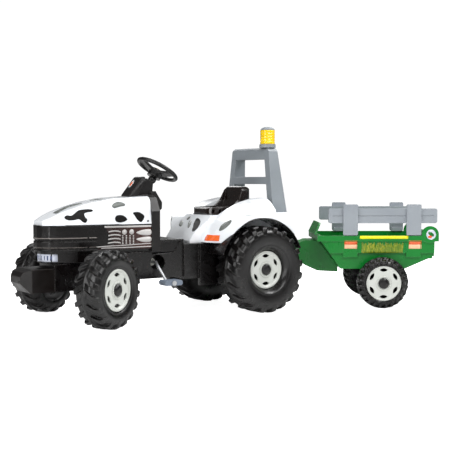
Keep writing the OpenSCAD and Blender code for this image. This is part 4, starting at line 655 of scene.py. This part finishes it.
piece_of("beacon_reflector", turned(lamp_profile, 32), reflector_cream, "tractor")

# ---- Nose -------------------------------------------------------------------
# A black semi-gloss cover wraps the front of the chassis. Printed foil panels
# with louvres and pipes are stuck to both of its flanks. Pale grey strips at two
# heights on its front and flanks are painted highlights along its slat edges.
# Half heights of the painted highlight strips, on the flanks and on the front.
HIGHLIGHT_HALF, FRONT_HIGHLIGHT_HALF = 1.6, 1.4
nose_black = plastic("nose_black", (12, 9, 9), (17, 14, 13), (70, 64, 60), 0.2, 0.3,
                     grain_size=500.0, grain_depth=0.00002, edge=0.006, wear=0.1)
dress(nose_black, "nose_cover")


def oblong(left, foot, right, top):
    """An upright rectangle as an outline."""
    return [(left, foot), (right, foot), (right, top), (left, top)]


def band(points, width):
    """A narrow ribbon outline that follows a line of points."""
    upper = [Vector((p[0], p[1] + width / 2)) for p in points]
    lower = [Vector((p[0], p[1] - width / 2)) for p in reversed(points)]
    return upper + lower


# Thin pale strips pressed on at two heights are painted highlights: the light caught along the nose's slat
# edges.
highlight_paint = plastic("highlight_paint", (120, 114, 110), (104, 98, 94), (170, 166, 162), 0.2, 0.3, edge=0.0006)
for z in (269, 239):
    for side, _, view in SIDES:
        for part, low, high in (("fore", 598, 716), ("aft", 567, 592)):
            sticker("nose_rib_%s_%d_%s" % (part, z, side), oblong(low, z - HIGHLIGHT_HALF, high, z + HIGHLIGHT_HALF), view,
                    "nose_cover", "tractor", highlight_paint, thick=0.8)
    sticker("nose_rib_front_%d" % z, oblong(-52, z - FRONT_HIGHLIGHT_HALF, 52, z + FRONT_HIGHLIGHT_HALF), from_front,
            "nose_cover", "tractor", highlight_paint, thick=0.8)

foil_silver = vinyl("foil_silver", (196, 194, 192), (168, 164, 162), (225, 225, 225), 0.22, 0.36,
                    grain_size=240.0)
foil_dark, _, surface = surfaced("foil_dark", moulded, {
    "Clouded": paint(48, 38, 36), "Worn": paint(120, 110, 108), "Smooth": 0.2, "Rough": 0.32,
    "Edge Radius": STICKER_EDGE})
tree = foil_dark.node_tree
spot = add(tree, "ShaderNodeTexCoord").outputs["Object"]
apart = add(tree, "ShaderNodeSeparateXYZ", {"Vector": spot})
fade = add(tree, "ShaderNodeMapRange", {
    "Value": apart.outputs["X"], "From Min": at(560, 0, 0).x, "From Max": at(400, 0, 0).x})
ramp = add(tree, "ShaderNodeMix", {
    "Factor": fade.outputs["Result"], "A": paint(40, 31, 30), "B": paint(74, 50, 47)}, data_type="RGBA")
tree.links.new(ramp.outputs["Result"], surface.inputs["Color"])

FLANK_PANEL = [(379, 229), (379, 303), (537, 303), (540, 303), (508, 246), (566, 240), (566, 229)]
LENS_HIGH = [(432, 281), (415, 288), (396, 291), (380, 289), (380, 274), (396, 271), (415, 274)]
LENS_BELOW = [(432, 260), (415, 265), (396, 267), (380, 265), (380, 252), (396, 249), (415, 252)]
LOUVRE_PITCH, LOUVRES = 12, 4
STUD_PITCH, STUDS = 5, 6
for side, _, view in SIDES:
    sticker("flank_panel_" + side, FLANK_PANEL, view, "nose_cover", "tractor", foil_dark)
    prints = [("flank_line_top_" + side, band([(379, 301), (460, 301.5), (541, 302)], 5.5)),
              ("flank_line_mid_" + side, band([(379, 245), (470, 242), (568, 239.5)], 2.6)),
              ("flank_line_low_" + side, band([(379, 235), (460, 234.5), (552, 235)], 2.8))]
    for row in range(LOUVRES):
        z = 287 - row * LOUVRE_PITCH
        louvre = [(486, z - 2.0), (495, z + 0.5), (507, z + 1.6), (519, z + 0.5), (527 + row, z - 1.0)]
        prints.append(("flank_louvre_%d_%s" % (row + 1, side), band(louvre, 4.2)))
    for pipe, x in enumerate((473, 448)):
        prints.append(("flank_pipe_head_%d_%s" % (pipe + 1, side), oval(x, 284, 8, 8.5)))
        for stud in range(STUDS):
            z = 272 - stud * STUD_PITCH
            for column, out in ((pipe + 1, 6), (pipe + 3, -6)):
                prints.append(("flank_pipe_%d_%d_%s" % (column, stud + 1, side),
                               oval(x + out, z, 2.6, 1.8, 0, 12)))
    prints.append(("flank_lens_high_" + side, rounded(LENS_HIGH)))
    prints.append(("flank_lens_low_" + side, rounded(LENS_BELOW)))
    for name, outline in prints:
        sticker(name, outline, view, "nose_cover", "tractor", foil_silver, cell=8.0, lift=0.5,
                thick=0.25)

# ---- Bonnet -----------------------------------------------------------------
# The bonnet is a white glossy shell closed over the nose, with large black and
# grey hide patches cut from vinyl.
SIDE_PATCHES = (
    ("big", vinyl_black, [(665, 336), (656, 341), (643, 340), (623, 354), (606, 358), (586, 359), (576, 356),
                          (580, 351), (594, 349), (604, 345), (603, 335), (597, 327), (600, 319), (607, 317),
                          (615, 322), (623, 328), (635, 326), (652, 325), (663, 329)]),
    ("kidney", vinyl_grey, [(512, 367), (506, 375), (493, 380.5), (484, 380.5), (474, 378), (467, 374),
                            (469, 368), (481, 366), (495, 363), (505, 361)]),
    ("oval", vinyl_black, [(505, 329), (499, 337), (487, 339), (474, 336), (463, 325), (473, 318), (489, 315),
                           (502, 319)]),
    ("leaf", vinyl_black, [(441, 345), (426, 348), (413, 344), (402, 335), (405, 324), (415, 315), (426, 321),
                           (435, 334)]))
TOP_PATCHES = (
    ("patch_long_top", [(676, 4), (657, -10), (632, -24), (600, -28), (580, -13), (578, 12), (598, 14),
                        (624, 10), (653, 24), (675, 38)]),
    ("patch_short_top", [(536, -26), (520, -29), (505, -20), (503, 10), (519, 13), (534, 0)]))
for side, _, view in SIDES:
    for name, finish, outline in SIDE_PATCHES:
        sticker("patch_%s_%s" % (name, side), rounded(outline), view, "bonnet", "tractor", finish,
                cell=5.0)
for name, outline in TOP_PATCHES:
    sticker(name, rounded(outline), from_above, "bonnet", "tractor", vinyl_grey)

# ---- Number plate -----------------------------------------------------------
# A small printed strip sits in the place of a number plate. It is vinyl, and
# it carries plain upright bars.
STRIP_BARS = (-44, -34, -28, -12, -4, 8, 16, 28, 36, 44)
BAR_HALF = 1.8
strip_white = vinyl("strip_white", (206, 210, 222), (188, 194, 210), (230, 230, 235), 0.25, 0.35)
strip_blue = vinyl("strip_blue", (70, 84, 120), (96, 106, 136), (150, 160, 180), 0.25, 0.35)
sticker("front_strip", oblong(-54, 195, 54, 219), from_front, "nose_cover", "tractor", strip_white)
for bar, y in enumerate(STRIP_BARS):
    sticker("front_strip_bar_%d" % (bar + 1), oblong(y - BAR_HALF, 200, y + BAR_HALF, 214), from_front,
            "nose_cover", "tractor", strip_blue, lift=0.5, thick=0.2)

# ---- Dash, steering column and wheel ----------------------------------------
# The cowl and instrument pod are grained black. The column is a bent rod, and
# the wheel has three spokes, a horn button and a grained rim.
dress(plastic("dash_black", (16, 14, 14), (23, 20, 20), (90, 86, 82), 0.32, 0.46,
              grain_size=420.0, grain_depth=0.00012, edge=0.003), "dash_cowl", "instrument_pod")
sticker("dash_oval", oval(-12, 438, 10, 13, 10), from_front, "instrument_pod", "tractor", vinyl_pale,
        cell=4.0)
sticker("dash_oval_middle", oval(-12, 438, 6, 8, 10), from_front, "instrument_pod", "tractor", vinyl_orange,
        cell=4.0, lift=0.5)
dress(plastic("grip_black", (11, 10, 10), (17, 15, 15), (90, 86, 82), 0.3, 0.48,
              grain_size=300.0, grain_depth=0.0002, edge=0.003), "steering_wheel")
dress(dark_zinc, "steering_column")
dress(plastic("horn_yellow", (236, 196, 40), (226, 182, 30), (250, 230, 150), 0.2, 0.35), "horn_button")

# ---- Drawbar and trailer ----------------------------------------------------
# The tub, its drawbar and tailgate are bright green polypropylene, glossy over
# a coarse orange-peel. The fence rails and posts are grained grey mouldings.
tub_green = plastic("tub_green", (2, 122, 44), (0, 108, 38), (120, 190, 130), 0.24, 0.38,
                    grain_size=380.0, grain_depth=0.00006, edge=0.003, wear=0.3)
dress(tub_green, "trailer_tub", "headboard", "tailgate", "drawbar")
dress(belly_black, "tow_bracket")
dress(plastic("fence_grey", (148, 154, 160), (139, 145, 152), (190, 194, 198), 0.3, 0.46,
              grain_size=520.0, grain_depth=0.0001, edge=0.0025, wear=0.4),
      "fence_rail_left", "fence_rail_right", "fence_posts")

# ---- Trailer stickers -------------------------------------------------------
# A yellow line runs under the rim, printed grass stands below it, two-tone
# orange squares mark the post pockets, and a plain roundel sits on each ear.
left_hub = sum(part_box("trailer_cap_left"), Vector()) / 2
right_hub = sum(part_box("trailer_cap_right"), Vector()) / 2
hub_line = (left_hub - right_hub).normalized()
TRAIL_SIDE = Vector((hub_line.x, hub_line.y, 0)).normalized()
TRAIL_AHEAD = Vector((TRAIL_SIDE.y, -TRAIL_SIDE.x, 0))
pin_low, pin_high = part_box("hitch_pin")
HITCH = Vector(((pin_low.x + pin_high.x) / 2, (pin_low.y + pin_high.y) / 2, 0))


def behind(x, y, z):
    """A place in millimetres ahead of the hitch pin, left of it and up, square to the trailer."""
    return HITCH + TRAIL_AHEAD * x * MM + TRAIL_SIDE * y * MM + Vector((0, 0, z * MM))


def tub_left(u, v):
    """Where a sticker is pressed onto the tub from its left: u is ahead of the hitch, v is up."""
    return behind(u, 400, v), -TRAIL_SIDE


def tub_right(u, v):
    """The same from its right."""
    return behind(u, -400, v), TRAIL_SIDE


vinyl_yellow = vinyl("vinyl_yellow", (246, 238, 24), (240, 228, 16), (250, 246, 150), 0.22, 0.34)
vinyl_cream = vinyl("vinyl_cream", (246, 190, 150), (240, 180, 138), (250, 220, 200), 0.22, 0.34)
grass_print, _, surface = surfaced("grass_print", moulded, {
    "Clouded": paint(84, 120, 30), "Worn": paint(180, 190, 120), "Smooth": 0.25, "Rough": 0.4,
    "Edge Radius": STICKER_EDGE})
tree = grass_print.node_tree
spot = add(tree, "ShaderNodeTexCoord").outputs["Object"]
thin = add(tree, "ShaderNodeMapping", {"Vector": spot, "Scale": (420.0, 420.0, 55.0)})
blades = add(tree, "ShaderNodeTexNoise", {
    "Vector": thin.outputs["Vector"], "Scale": 1.0, "Detail": 3.0, "Distortion": 1.5})
tones = add(tree, "ShaderNodeValToRGB", {"Fac": blades.outputs["Fac"]})
tones.color_ramp.elements[0].position = 0.34
tones.color_ramp.elements[0].color = paint(52, 96, 22)
tones.color_ramp.elements[1].position = 0.66
tones.color_ramp.elements[1].color = paint(190, 176, 60)
tones.color_ramp.elements.new(0.5).color = paint(112, 140, 36)
tree.links.new(tones.outputs["Color"], surface.inputs["Color"])

TUFTS = 15
TUFT_PITCH = 10
meadow = [(-306, 193)]
for tuft in range(TUFTS):
    x = -306 - tuft * TUFT_PITCH
    meadow += [(x, 228 - 5 * (tuft % 3)), (x - 5, 232 - 3 * (tuft % 2))]
meadow += [(-455, 226), (-452, 193)]
meadow.reverse()
for hand, view in (("left", tub_left), ("right", tub_right)):
    sticker("tub_line_" + hand, oblong(-470, 243, -299, 254), view, "trailer_tub", "trailer", vinyl_yellow,
            cell=10.0)
    sticker("tub_grass_" + hand, meadow, view, "trailer_tub", "trailer", grass_print, cell=7.0)
    for pocket, low, high in (("front", -290, -245), ("back", -518, -473)):
        for tone, finish, foot, top in (("orange", vinyl_orange, 223, 237), ("cream", vinyl_cream, 208, 223)):
            sticker("pocket_%s_%s_%s" % (pocket, tone, hand), oblong(low, foot, high, top), view,
                    "trailer_tub", "trailer", finish, cell=8.0)
    sticker("ear_roundel_" + hand, oval(-551, 258, 17, 18), view, "trailer_tub", "trailer", strip_white)
    sticker("ear_roundel_leaf_" + hand, oval(-551, 260, 12, 6, 35), view, "trailer_tub", "trailer", tub_green,
            lift=0.5)
    sticker("ear_roundel_berry_" + hand, oval(-547, 250, 7, 5, 0), view, "trailer_tub", "trailer",
            vinyl_orange, lift=0.5)
